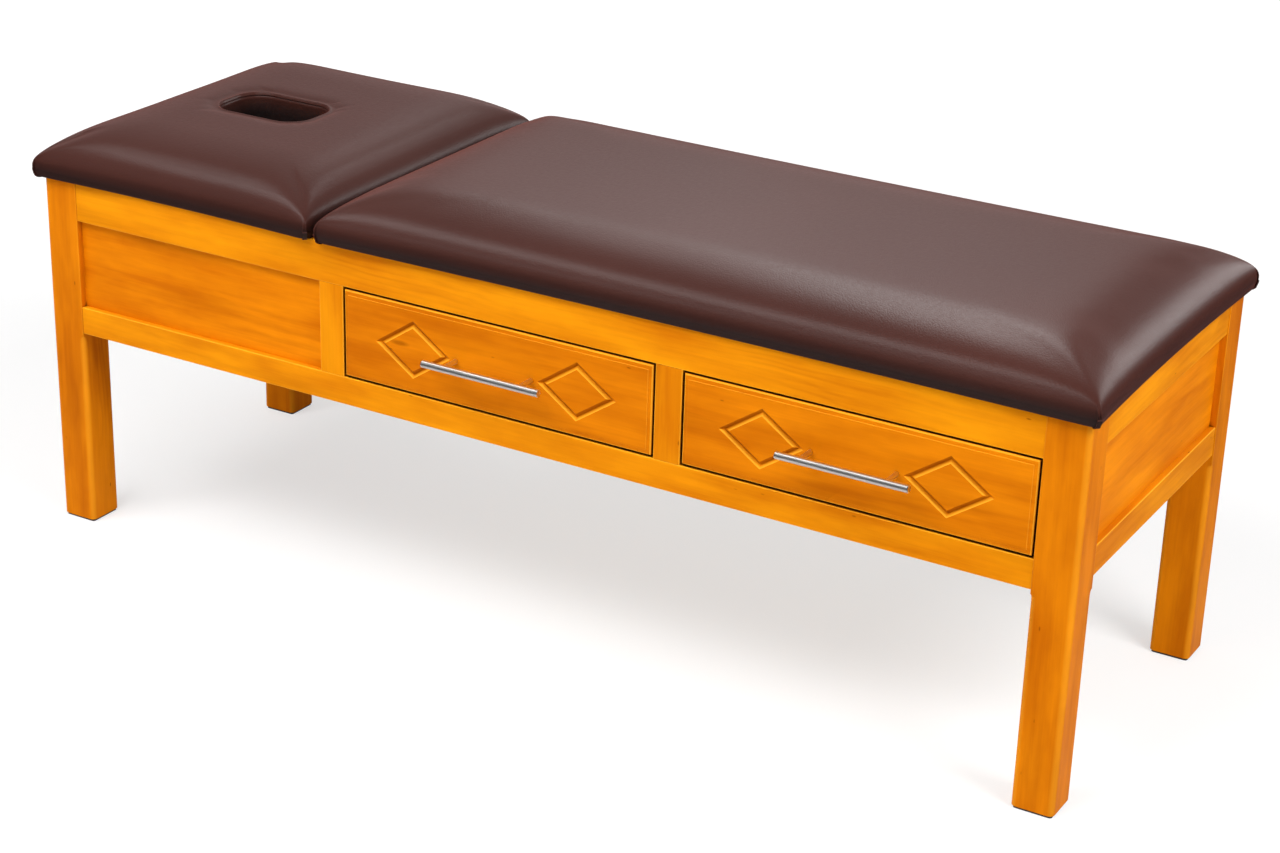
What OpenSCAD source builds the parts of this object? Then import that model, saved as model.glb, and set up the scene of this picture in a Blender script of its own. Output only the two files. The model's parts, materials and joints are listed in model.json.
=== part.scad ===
// Spa bed on a cabinet base: a framed wooden table with two drawers in its front,
// a long body pad and a shorter head pad with a face hole. The head pad tilts on two
// butt hinges at the split and is held up by two telescopic ratchet struts.
// Millimetres. X runs from the head end to the foot end, the drawers face -Y and
// Z = 0 is the floor.

/* [Frame] */
// Length of the wooden frame over its legs
frame_length = 1840; // [1700:10:2100]
// Width of the wooden frame over its legs
frame_width = 630; // [580:5:760]
// Height of the frame's top edge above the floor
frame_height = 615; // [520:5:760]
// Side of a square leg
leg_side = 66; // [56:1:80]
// Rounding of a leg's upright edges
leg_round = 8; // [3:0.5:12]
// Thickness of the rails and stiles
rail_thick = 24; // [22:0.5:30]
// Distance that rails and stiles lie behind the legs' faces
rail_setback = 1.5; // [0.5:0.5:3]
// Height of the front and back top rails
top_rail_height = 66; // [56:1:90]
// Height of the front and back bottom rails
bottom_rail_height = 47; // [40:1:70]
// Height of the opening between the front rails
opening_height = 152; // [130:1:200]
// Height of the top rails at both ends
end_top_rail_height = 53; // [45:1:66]
// Height of the opening between the end rails
end_opening_height = 154; // [130:1:170]
// Height of the bottom rails at both ends
end_bottom_rail_height = 47; // [36:1:60]
// Width of an upright stile
stile_width = 45; // [42:1:60]
// Thickness of the panels that the frame holds
panel_thick = 9; // [6:0.5:10]
// Depth of a panel's face behind the rails' faces
panel_recess = 10; // [7:0.5:11]

/* [Drawers] */
// Width of the plain bay under the head section
bay_width = 492; // [470:1:540]
// Gap round a drawer front
drawer_gap = 3; // [2:0.5:5]
// Thickness of a drawer front
drawer_front_thick = 19; // [17:0.5:22]
// Distance that a drawer front stands proud of the rails
drawer_proud = 2; // [0.5:0.5:4]
// Width of the moulding round a drawer front
moulding_width = 8; // [4:0.5:12]
// Depth of the moulding at the front's edge
moulding_depth = 5; // [3:0.5:7]
// Distance between a diamond's outer corner and the moulding
diamond_side_margin = 53.5; // [40:0.5:80]
// Distance between a diamond's upper corner and the moulding
diamond_top_margin = 17.5; // [12:0.5:30]
// Distance between a diamond's inner corner and the handle post's middle
diamond_post_margin = 11; // [8:0.5:16]
// Depth of the V-shaped groove that draws a diamond
groove_depth = 3; // [1.5:0.5:4]
// Height of a drawer's side boards
drawer_side_height = 112; // [90:1:120]
// Thickness of a drawer's side and back boards
drawer_board = 12; // [10:0.5:15]
// Depth of the drawer box behind its front
drawer_depth = 460; // [440:5:470]
// Length of a drawer slide
slide_length = 450; // [400:5:455]

/* [Handles] */
// Length of a handle's bar
handle_length = 210; // [180:1:230]
// Distance between a handle's posts
handle_pitch = 136; // [110:1:150]
// Diameter of a handle's bar
handle_bar_d = 12; // [10:0.5:14]
// Diameter of a handle's posts
handle_post_d = 8; // [7:0.5:9]
// Distance of the bar's axis from the drawer's face
handle_reach = 37; // [30:0.5:45]

/* [Pads] */
// Distance that the pads' corners reach past the frame
pad_overhang = 16; // [12:0.5:22]
// Distance by which a pad's sides pull in between its corners
pad_drawn_in = 7; // [3:0.5:10]
// Distance by which a pad's foot tucks in below its widest line
pad_tuck = 9; // [5:0.5:12]
// Height of a pad's widest line above its foot
pad_wall = 16; // [14:0.5:20]
// Height of the crown above the widest line
pad_crown = 66; // [50:1:80]
// Width of the rolled edge in which the crown rises
crown_width = 160; // [120:5:190]
// Distance from the first stile to the middle of the split
split_setback = 7; // [4:0.5:8]
// Gap between the two pads
split_gap = 8; // [6:0.5:10]
// Thickness of the boards inside the pads
board_thick = 15; // [12:0.5:16]
// Length of the face hole
hole_length = 185; // [140:1:200]
// Width of the face hole
hole_width = 136; // [110:1:150]
// Corner radius of the face hole
hole_round = 45; // [20:1:50]
// Distance from the head end to the face hole's middle
hole_from_head = 234; // [226:1:265]

/* [Head tilt] */
// Height of the hinge pins above the frame's top
hinge_rise = 12; // [11:0.5:13]
// Width of a hinge
hinge_width = 60; // [50:1:80]
// Distance between the two hinges' middles
hinge_spacing = 360; // [300:10:400]
// Drop of a strut's upper pin below the frame's top
strut_drop = 24; // [22:0.5:28]
// Angle of the struts' lower pins below the hinge line, in degrees
strut_angle = 55; // [52:1:58]
// Side of a strut's tube across the bed
strut_tube_width = 14; // [13:0.5:16]
// Side of a strut's tube along the bed
strut_tube_depth = 24; // [22:0.5:28]

/* [Hidden] */

$fn = 48;
over = 1;                  // overrun of every cut
fit_gap = 0.2;             // clearance of tenons and panels in their sockets
seat_gap = 0.3;            // clearance under the pads and round the struts' sliding parts
pin_gap = 0.05;            // radial clearance of pins in their bores

// Heights
glide_height = 4;
glide_inset = 3;
frame_top = frame_height;
open_top = frame_top - top_rail_height;
open_bottom = open_top - opening_height;
rail_low = open_bottom - bottom_rail_height;
end_open_top = frame_top - end_top_rail_height;
end_open_bottom = end_open_top - end_opening_height;
end_rail_low = end_open_bottom - end_bottom_rail_height;
stop_gap = 6;              // where a leg's inner roundings stop below the rails

// Plan
half_length = frame_length / 2;
half_width = frame_width / 2;
inner_x = half_length - leg_side;
inner_y = half_width - leg_side;
rail_face_y = half_width - rail_setback;
rail_back_y = rail_face_y - rail_thick;
rail_face_x = half_length - rail_setback;
rail_back_x = rail_face_x - rail_thick;
drawer_opening = inner_x - bay_width / 2 - stile_width;
drawer_2_x = inner_x - drawer_opening / 2;
stile_2_x = inner_x - drawer_opening - stile_width / 2;
drawer_1_x = stile_2_x - stile_width / 2 - drawer_opening / 2;
stile_1_x = drawer_1_x - drawer_opening / 2 - stile_width / 2;
stile_places = [stile_1_x, stile_2_x];
drawer_places = [drawer_1_x, drawer_2_x];

// The bed's middle lies where the box round bed and handles is centred on the origin
handle_front = handle_reach + handle_bar_d / 2 + drawer_proud - rail_setback;
mid_y = (handle_front - pad_overhang) / 2;

// Joinery
tenon_thick = 10;
tenon_length = 25;
tenon_shoulder = 8;
tenon_top_shoulder = 12;
tenon_depth = rail_setback + rail_thick / 2;
stub_length = 10;
stub_shoulder = 8;
panel_groove = 7;
panel_y = rail_face_y - panel_recess - panel_thick / 2;
panel_x = rail_face_x - panel_recess - panel_thick / 2;

// Carcass
partition_thick = 18;
cleat_height = 60;
floor_thick = 9;
ledger_height = 17;
ledger_depth = 17;
bearer_width = stile_width;
bearer_height = 40;
bearer_places = [stile_1_x, drawer_1_x, stile_2_x, drawer_2_x];
ledger_top = rail_low + ledger_height;
floor_top = ledger_top + floor_thick;
bearer_low = frame_top - bearer_height;
screw_d = 5;
screw_head_d = 10;
screw_head = 3;
screw_bite = 11;
screw_spacing = 440;
screw_bore = screw_d + 2 * pin_gap;
screw_reach = bearer_height + screw_bite + 2 * seat_gap;

// Drawers
slide_thick = 12.7;
slide_height = 45;
slide_wall = 1.4;
slide_play = 0.4;
slide_above_side = 18;
slide_open = 0.7;
slide_lip = slide_thick - slide_open;
middle_half = slide_height / 2 - slide_wall - slide_play;
inner_half = middle_half - slide_wall - slide_play;
box_half = drawer_opening / 2 - slide_thick;
front_half_width = drawer_opening / 2 - drawer_gap;
front_half_height = opening_height / 2 - drawer_gap;
drawer_z = (open_top + open_bottom) / 2;
drawer_face_y = rail_face_y + drawer_proud;
drawer_back_y = drawer_face_y - drawer_front_thick;
side_low = open_bottom + 2 * drawer_gap;
side_top = side_low + drawer_side_height;
slide_z = side_low + slide_above_side + slide_height / 2;
bottom_thick = 6;
bottom_groove = 6;
bottom_rise = 10;
bottom_low = side_low + bottom_rise;
moulding_quirk = 1.2;
moulding_steps = 5;
diamond_inner_share = 0.76;
diamond_room = front_half_width - moulding_width - diamond_side_margin;
diamond_inner_place = handle_pitch / 2 + diamond_post_margin;
diamond_half_width = (diamond_room - diamond_inner_place) / 2;
diamond_half_height = front_half_height - moulding_width - diamond_top_margin;
diamond_place = diamond_inner_place + diamond_half_width;
post_spigot_d = 5;
post_spigot = 4;
post_thread_d = 4;
post_thread = 12;
screw_play = 0.3;
handle_screw_head_d = 9;
handle_screw_head = 2.4;
bar_chamfer = 0.8;

// Pads
split_x = stile_1_x - stile_width / 2 - split_setback;
pad_base = frame_top + seat_gap;
roll_steps = 6;
roll_power = 2.4;
plateau_steps = 7;
board_inset = 6;
board_split_inset = 16;
board_play = 0.4;
hole_x = hole_from_head - half_length;
hole_board_play = 4;
lip_width = 55;
lip_drop = 6;
body_low = split_x + split_gap / 2;
body_high = half_length + pad_overhang;
head_low = -half_length - pad_overhang;
head_high = split_x - split_gap / 2;
pad_half_width = half_width + pad_overhang;
board_half_width = half_width - board_inset;

// Head tilt
hinge_barrel_r = 6;
hinge_pin_r = 2.5;
hinge_leaf = 2.5;
hinge_leaf_length = 46;
hinge_play = 0.4;
hinge_knuckle_share = 0.3;
hinge_notch = 2;
knuckle = hinge_width * hinge_knuckle_share;
middle_knuckle = hinge_width - 2 * knuckle - 2 * hinge_play;
fixed_knuckle_places = [(knuckle - hinge_width) / 2, (hinge_width - knuckle) / 2];
leaf_screw_r = 2;
leaf_screw_length = 12;
leaf_screw_share = 0.3;
hinge_z = frame_top + hinge_rise;
foot_pin_z = (open_bottom + rail_low) / 2;
strut_radius = (hinge_z - foot_pin_z) / sin(strut_angle);
strut_top_angle = asin((hinge_rise + strut_drop) / strut_radius);
foot_pin_x = split_x - strut_radius * cos(strut_angle);
head_pin_x = split_x - strut_radius * cos(strut_top_angle);
head_pin_z = frame_top - strut_drop;
strut_lean = atan2(head_pin_x - foot_pin_x, head_pin_z - foot_pin_z);
strut_closed = norm([head_pin_x - foot_pin_x, head_pin_z - foot_pin_z]);
strut_pin_r = 4;
plate_thick = 3;
plate_half = 20;
boss_r = 9;
boss_thick = 2.6;
tube_wall = 1.5;
rod_width = 8;
rod_depth = 18;
eye_r = 9;
slot_play = 2.8;
strut_free = 10;
tube_length = strut_closed - 2 * eye_r - slot_play - strut_free;
rod_tail = 28;
ratchet_pitch = 12;
ratchet_depth = 3;
tooth_share = 0.75;
collar_wall = 3;
collar_height = 24;
collar_cap = 8;
bracket_ear = 3;
bracket_play = 0.5;
bracket_half_length = 25;
pin_head_r = 6.5;
pin_head = 2;
strut_y = rail_back_y - plate_thick - boss_thick - seat_gap - strut_tube_width / 2;
bracket_half = rod_width / 2 + bracket_play;

// Puts a piece where the bed's middle lies
module placed() translate([0, mid_y, 0]) children();

// A block between two corners
module block(low, high) translate(low) cube(high - low);

// A copy turned over across an axis, or as it is
module mirrored(flag, axis) {
    if (flag) mirror(axis) children();
    else children();
}

// The two copies that lie at equal distances in front of and behind the middle
module both_sides(y) for (side = [-1, 1]) translate([0, side * y, 0]) children();

// Round bar along Y, centred
module bar_y(r, length) rotate([90, 0, 0]) cylinder(r = r, h = length, center = true);

// The waste that rounds an upright edge at the corner of a square
module edge_waste(r, low, high) {
    translate([0, 0, low])
        linear_extrude(high - low)
            difference() {
                translate([-over, -over]) square(r + over);
                translate([r, r]) circle(r);
            }
}

// Panels: the blanks that fill the grooves, grown by a clearance
module side_panel_blank(x_low, x_high, side, gap) {
    block([x_low - panel_groove - gap, side * panel_y - panel_thick / 2 - gap,
           open_bottom - panel_groove - gap],
          [x_high + panel_groove + gap, side * panel_y + panel_thick / 2 + gap,
           open_top + panel_groove + gap]);
}

module front_panel_blank(gap) {
    side_panel_blank(-inner_x, stile_1_x - stile_width / 2, -1, gap);
}

module back_panel_blanks(gap) {
    side_panel_blank(-inner_x, stile_1_x - stile_width / 2, 1, gap);
    side_panel_blank(stile_1_x + stile_width / 2, stile_2_x - stile_width / 2, 1, gap);
    side_panel_blank(stile_2_x + stile_width / 2, inner_x, 1, gap);
}

module end_panel_blank(side, gap) {
    block([side * panel_x - panel_thick / 2 - gap, -inner_y - panel_groove - gap,
           end_open_bottom - panel_groove - gap],
          [side * panel_x + panel_thick / 2 + gap, inner_y + panel_groove + gap,
           end_open_top + panel_groove + gap]);
}

// Tenons of a long rail, at both of its ends
module long_tenons(side, low, high, gap) {
    for (end = [-1, 1])
        block([end * (inner_x + tenon_length / 2) - tenon_length / 2 - gap,
               side * (half_width - tenon_depth) - tenon_thick / 2 - gap,
               low + tenon_shoulder - gap],
              [end * (inner_x + tenon_length / 2) + tenon_length / 2 + gap,
               side * (half_width - tenon_depth) + tenon_thick / 2 + gap,
               high - tenon_top_shoulder + gap]);
}

// Tenons of an end rail, at both of its ends
module end_tenons(side, low, high, gap) {
    for (end = [-1, 1])
        block([side * (half_length - tenon_depth) - tenon_thick / 2 - gap,
               end * (inner_y + tenon_length / 2) - tenon_length / 2 - gap,
               low + tenon_shoulder - gap],
              [side * (half_length - tenon_depth) + tenon_thick / 2 + gap,
               end * (inner_y + tenon_length / 2) + tenon_length / 2 + gap,
               high - tenon_top_shoulder + gap]);
}

// Stub tenons at the top and bottom of the stiles
module stile_stubs(side, gap) {
    for (x = stile_places, z = [open_bottom - stub_length / 2, open_top + stub_length / 2])
        block([x - stile_width / 2 + stub_shoulder - gap,
               side * (half_width - tenon_depth) - tenon_thick / 2 - gap,
               z - stub_length / 2 - gap],
              [x + stile_width / 2 - stub_shoulder + gap,
               side * (half_width - tenon_depth) + tenon_thick / 2 + gap,
               z + stub_length / 2 + gap]);
}

module all_tenons(gap) {
    for (side = [-1, 1]) {
        long_tenons(side, open_top, frame_top, gap);
        long_tenons(side, rail_low, open_bottom, gap);
        end_tenons(side, end_open_top, frame_top, gap);
        end_tenons(side, end_rail_low, end_open_bottom, gap);
    }
}

module all_panel_blanks(gap) {
    front_panel_blank(gap);
    back_panel_blanks(gap);
    for (side = [-1, 1]) end_panel_blank(side, gap);
}

// A leg drawn at the corner given by its signs, mortised and grooved
module leg(side_x, side_y) {
    color("orange") placed() difference() {
        mirrored(side_x < 0, [1, 0, 0]) mirrored(side_y < 0, [0, 1, 0])
            translate([inner_x, inner_y, glide_height]) difference() {
                upper = frame_top - glide_height;
                lower = end_rail_low - stop_gap - glide_height;
                front_lower = rail_low - stop_gap - glide_height;
                cube([leg_side, leg_side, upper]);
                translate([leg_side, leg_side, 0]) rotate([0, 0, 180])
                    edge_waste(leg_round, -over, upper + over);
                translate([0, leg_side, 0]) rotate([0, 0, -90])
                    edge_waste(leg_round, -over, front_lower);
                translate([leg_side, 0, 0]) rotate([0, 0, 90])
                    edge_waste(leg_round, -over, lower);
                edge_waste(leg_round, -over, front_lower);
            }
        all_tenons(fit_gap);
        all_panel_blanks(fit_gap);
    }
}

module leg_front_left() leg(-1, -1);
module leg_front_right() leg(1, -1);
module leg_back_left() leg(-1, 1);
module leg_back_right() leg(1, 1);

module leg_glides() {
    pad = leg_side - 2 * glide_inset;
    color("dimgray") placed()
        for (sx = [-1, 1], sy = [-1, 1])
            translate([sx * (half_length - leg_side / 2) - pad / 2,
                       sy * (half_width - leg_side / 2) - pad / 2, 0])
                difference() {
                    cube([pad, pad, glide_height]);
                    edge_waste(leg_round / 2, -over, glide_height + over);
                    translate([pad, 0, 0]) rotate([0, 0, 90])
                        edge_waste(leg_round / 2, -over, glide_height + over);
                    translate([pad, pad, 0]) rotate([0, 0, 180])
                        edge_waste(leg_round / 2, -over, glide_height + over);
                    translate([0, pad, 0]) rotate([0, 0, -90])
                        edge_waste(leg_round / 2, -over, glide_height + over);
                }
}

// A long rail between two legs, with its tenons, grooves and stub mortises
module long_rail(side, low, high) {
    color("orange") placed() difference() {
        union() {
            block([-inner_x, side * (rail_face_y - rail_thick / 2) - rail_thick / 2, low],
                  [inner_x, side * (rail_face_y - rail_thick / 2) + rail_thick / 2, high]);
            long_tenons(side, low, high, 0);
        }
        stile_stubs(side, fit_gap);
        if (side < 0) front_panel_blank(fit_gap);
        else back_panel_blanks(fit_gap);
    }
}

module front_top_rail() long_rail(-1, open_top, frame_top);
module front_bottom_rail() long_rail(-1, rail_low, open_bottom);
module back_top_rail() long_rail(1, open_top, frame_top);
module back_bottom_rail() long_rail(1, rail_low, open_bottom);

// A rail across one end of the bed
module end_rail(side, low, high) {
    color("orange") placed() difference() {
        union() {
            block([side * (rail_face_x - rail_thick / 2) - rail_thick / 2, -inner_y, low],
                  [side * (rail_face_x - rail_thick / 2) + rail_thick / 2, inner_y, high]);
            end_tenons(side, low, high, 0);
        }
        end_panel_blank(side, fit_gap);
    }
}

module head_end_top_rail() end_rail(-1, end_open_top, frame_top);
module head_end_bottom_rail() end_rail(-1, end_rail_low, end_open_bottom);
module foot_end_top_rail() end_rail(1, end_open_top, frame_top);
module foot_end_bottom_rail() end_rail(1, end_rail_low, end_open_bottom);

module stiles(side) {
    color("orange") placed() difference() {
        union() {
            for (x = stile_places)
                block([x - stile_width / 2, side * (rail_face_y - rail_thick / 2) - rail_thick / 2,
                       open_bottom],
                      [x + stile_width / 2, side * (rail_face_y - rail_thick / 2) + rail_thick / 2,
                       open_top]);
            stile_stubs(side, 0);
        }
        if (side < 0) front_panel_blank(fit_gap);
        else back_panel_blanks(fit_gap);
    }
}

module front_stiles() stiles(-1);
module back_stiles() stiles(1);

module front_panel() color("darkorange") placed() front_panel_blank(0);
module back_panels() color("darkorange") placed() back_panel_blanks(0);
module head_end_panel() color("darkorange") placed() end_panel_blank(-1, 0);
module foot_end_panel() color("darkorange") placed() end_panel_blank(1, 0);

// Carcass inside the frame
module partitions() {
    color("burlywood") placed()
        for (x = stile_places)
            block([x - partition_thick / 2, -rail_back_y, floor_top],
                  [x + partition_thick / 2, rail_back_y, bearer_low]);
}

// Wooden strips that carry the slides flush with the openings' edges
module runner_cleats() {
    cleat = (stile_width - partition_thick) / 2;
    edges = [stile_1_x + stile_width / 2, stile_2_x - stile_width / 2 + cleat,
             stile_2_x + stile_width / 2];
    color("burlywood") placed() {
        for (x = edges)
            block([x - cleat, -rail_back_y, slide_z - cleat_height / 2],
                  [x, rail_back_y, slide_z + cleat_height / 2]);
        block([inner_x, -inner_y, slide_z - cleat_height / 2],
              [inner_x + partition_thick, inner_y, slide_z + cleat_height / 2]);
    }
}

// The cabinet's floor, cut out round the two legs at the foot end
module cabinet_floor() {
    color("tan") placed() {
        block([stile_1_x - partition_thick / 2, -rail_back_y, ledger_top],
              [inner_x, rail_back_y, floor_top]);
        block([inner_x - over, -inner_y, ledger_top], [rail_back_x, inner_y, floor_top]);
    }
}

module floor_ledgers() {
    color("burlywood") placed()
        for (side = [-1, 1])
            block([stile_1_x - partition_thick / 2,
                   side * (rail_back_y - ledger_depth / 2) - ledger_depth / 2, rail_low],
                  [inner_x, side * (rail_back_y - ledger_depth / 2) + ledger_depth / 2, ledger_top]);
}

module cross_bearers() {
    color("burlywood") placed() difference() {
        for (x = bearer_places)
            block([x - bearer_width / 2, -rail_back_y, bearer_low],
                  [x + bearer_width / 2, rail_back_y, frame_top]);
        pad_screw_places() translate([0, 0, -over]) cylinder(d = screw_bore, h = screw_reach + over);
    }
}

// Screws hold the body pad's board from below, through the two bearers over the drawers
module pad_screw_places() {
    for (x = drawer_places, side = [-1, 1])
        translate([x, side * screw_spacing / 2, bearer_low]) children();
}

module pad_screws() {
    color("silver") placed() pad_screw_places() {
        translate([0, 0, -screw_head]) cylinder(d = screw_head_d, h = screw_head);
        cylinder(d = screw_d, h = screw_reach - seat_gap);
    }
}

// Drawer slides: three nested channels
module channel(half_height, depth, wall, length) {
    difference() {
        translate([0, 0, -half_height]) cube([depth, length, 2 * half_height]);
        translate([wall, -over, wall - half_height])
            cube([depth, length + 2 * over, 2 * (half_height - wall)]);
    }
}

// Both slides of a drawer, the channel given as if on its left
module slide_pair(x) {
    for (side = [-1, 1])
        translate([x + side * drawer_opening / 2, -rail_back_y, slide_z])
            mirrored(side > 0, [1, 0, 0]) children();
}

module slide_cabinet_members() {
    color("silver") placed()
        for (x = drawer_places)
            slide_pair(x) channel(slide_height / 2, slide_lip, slide_wall, slide_length);
}

module slide_middle(x) {
    start = slide_wall + slide_play;
    color("lightgray") placed()
        slide_pair(x) translate([start, 0, 0])
            channel(middle_half, slide_lip - start, slide_wall, slide_length);
}

module slide_inner(x) {
    start = 2 * (slide_wall + slide_play);
    color("gray") placed()
        slide_pair(x) translate([slide_thick, slide_length, 0]) rotate([0, 0, 180])
            channel(inner_half, slide_thick - start, slide_wall, slide_length);
}

// Drawer boxes
module drawer_bottom_blank(x, gap) {
    inner = box_half - drawer_board;
    block([x - inner - bottom_groove - gap, -drawer_back_y - bottom_groove - gap, bottom_low - gap],
          [x + inner + bottom_groove + gap,
           drawer_depth - drawer_back_y - drawer_board + bottom_groove + gap,
           bottom_low + bottom_thick + gap]);
}

module drawer_sides(x) {
    color("burlywood") placed() difference() {
        for (side = [-1, 1])
            block([x + side * (box_half - drawer_board / 2) - drawer_board / 2, -drawer_back_y,
                   side_low],
                  [x + side * (box_half - drawer_board / 2) + drawer_board / 2,
                   drawer_depth - drawer_back_y, side_top]);
        drawer_bottom_blank(x, fit_gap);
    }
}

module drawer_back(x) {
    color("burlywood") placed() difference() {
        block([x - box_half + drawer_board, drawer_depth - drawer_back_y - drawer_board, side_low],
              [x + box_half - drawer_board, drawer_depth - drawer_back_y, side_top]);
        drawer_bottom_blank(x, fit_gap);
    }
}

module drawer_bottom(x) color("tan") placed() drawer_bottom_blank(x, 0);

// Section across a drawer front: square back, moulded front edge with a small quirk.
// Height runs from the back face to the front face.
function moulding_arc(side, half) = [for (i = [0 : moulding_steps])
    let (turn = side > 0 ? 90 * i / moulding_steps : 90 * (1 - i / moulding_steps))
    [side * (half - moulding_width * (1 - cos(turn))),
     drawer_front_thick - moulding_depth + (moulding_depth - moulding_quirk) * sin(turn)]];

function front_section(half) = concat([[-half, 0], [half, 0]], moulding_arc(1, half),
    [[half - moulding_width, drawer_front_thick], [moulding_width - half, drawer_front_thick]],
    moulding_arc(-1, half));

// A diamond's V-groove: outer and inner edges at the face, valley line at its depth
module diamond_groove() {
    corners = [[1, 0], [0, 1], [-1, 0], [0, -1]];
    valley_share = (1 + diamond_inner_share) / 2;
    rings = [[1, over], [1, 0], [valley_share, -groove_depth], [diamond_inner_share, 0],
             [diamond_inner_share, over]];
    points = [for (ring = rings, c = corners)
        [c[0] * ring[0] * diamond_half_width, c[1] * ring[0] * diamond_half_height, ring[1]]];
    rows = len(rings);
    faces = [for (r = [0 : rows - 1], i = [0 : 3], half = [0, 1])
        let (a = r * 4 + i, b = r * 4 + (i + 1) % 4, c = (r + 1) % rows * 4 + (i + 1) % 4,
             d = (r + 1) % rows * 4 + i)
        half == 0 ? [a, b, c] : [a, c, d]];
    polyhedron(points, faces);
}

module drawer_front(x) {
    color("orange") placed() difference() {
        translate([x, -drawer_back_y, drawer_z]) rotate([90, 0, 0]) difference() {
            intersection() {
                rotate([90, 0, 90])
                    linear_extrude(2 * front_half_width + over, center = true)
                        polygon(front_section(front_half_height));
                rotate([90, 0, 0])
                    linear_extrude(2 * front_half_height + over, center = true)
                        polygon(front_section(front_half_width));
            }
            for (side = [-1, 1])
                translate([side * diamond_place, 0, drawer_front_thick]) diamond_groove();
            for (side = [-1, 1])
                translate([side * handle_pitch / 2, 0, -over])
                    cylinder(d = post_thread_d + 2 * screw_play, h = drawer_front_thick + 2 * over);
        }
        drawer_bottom_blank(x, fit_gap);
    }
}

// Handles: a round bar on two posts, each held by a screw from inside the drawer
module handle_bar(x) {
    r = handle_bar_d / 2;
    half = handle_length / 2;
    color("silver") placed()
        translate([x, -drawer_face_y - handle_reach, drawer_z]) difference() {
            rotate([0, 90, 0])
                rotate_extrude()
                    polygon([[0, -half], [r - bar_chamfer, -half], [r, bar_chamfer - half],
                             [r, half - bar_chamfer], [r - bar_chamfer, half], [0, half]]);
            for (side = [-1, 1])
                translate([side * handle_pitch / 2, 0, 0]) rotate([-90, 0, 0])
                    translate([0, 0, r - post_spigot])
                        cylinder(d = post_spigot_d + 2 * pin_gap, h = post_spigot + over);
        }
}

module handle_posts(x) {
    r = handle_bar_d / 2;
    color("silver") placed()
        for (side = [-1, 1])
            translate([x + side * handle_pitch / 2, -drawer_face_y, drawer_z])
                rotate([90, 0, 0]) difference() {
                    union() {
                        difference() {
                            cylinder(d = handle_post_d, h = handle_reach);
                            translate([0, 0, handle_reach])
                                rotate([0, 90, 0])
                                    cylinder(r = r + pin_gap, h = handle_post_d + over,
                                             center = true);
                        }
                        translate([0, 0, handle_reach - r - over])
                            cylinder(d = post_spigot_d, h = post_spigot + over - pin_gap);
                    }
                    translate([0, 0, -over])
                        cylinder(d = post_thread_d + 2 * pin_gap, h = post_thread + over);
                }
}

module handle_screws(x) {
    color("gray") placed()
        for (side = [-1, 1])
            translate([x + side * handle_pitch / 2, -drawer_back_y, drawer_z])
                rotate([90, 0, 0]) {
                    cylinder(d = post_thread_d, h = drawer_front_thick + post_thread - over);
                    translate([0, 0, -handle_screw_head])
                        cylinder(d = handle_screw_head_d, h = handle_screw_head);
                }
}

// Pads. Along each direction a station holds its place and how far the crown has risen
function roll_place(i) = crown_width * (1 - pow(cos(90 * i / roll_steps), 2 / roll_power));
function roll_rise(i) = pow(sin(90 * i / roll_steps), 2 / roll_power);

function stations(half) = concat(
    [for (i = [0 : roll_steps]) [roll_place(i) - half, roll_rise(i)]],
    [for (i = [1 : plateau_steps - 1])
        [(half - crown_width) * (2 * i / plateau_steps - 1), 1]],
    [for (i = [roll_steps : -1 : 0]) [half - roll_place(i), roll_rise(i)]]);

// The two directions' rises joined: near an edge it follows the lower one, so that the
// rolled edges meet in a soft ridge at each corner
function joined_rise(a, b) = a * b == 0 ? 0 : a * b / sqrt(a * a + b * b - a * a * b * b);

// A side's pull towards the middle, most half way between its corners
function drawn(place, half_along, amount) = amount * (1 - pow(place / half_along, 2));

// How far the cover dips at a point near the face hole's edge
function hole_distance(x, y) = norm([max(abs(x) - hole_length / 2 + hole_round, 0),
                                     max(abs(y) - hole_width / 2 + hole_round, 0)]) - hole_round;
function lip_dip(x, y) = let (t = min(max(hole_distance(x, y), 0) / lip_width, 1))
    lip_drop * pow(1 - t, 2);

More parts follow.
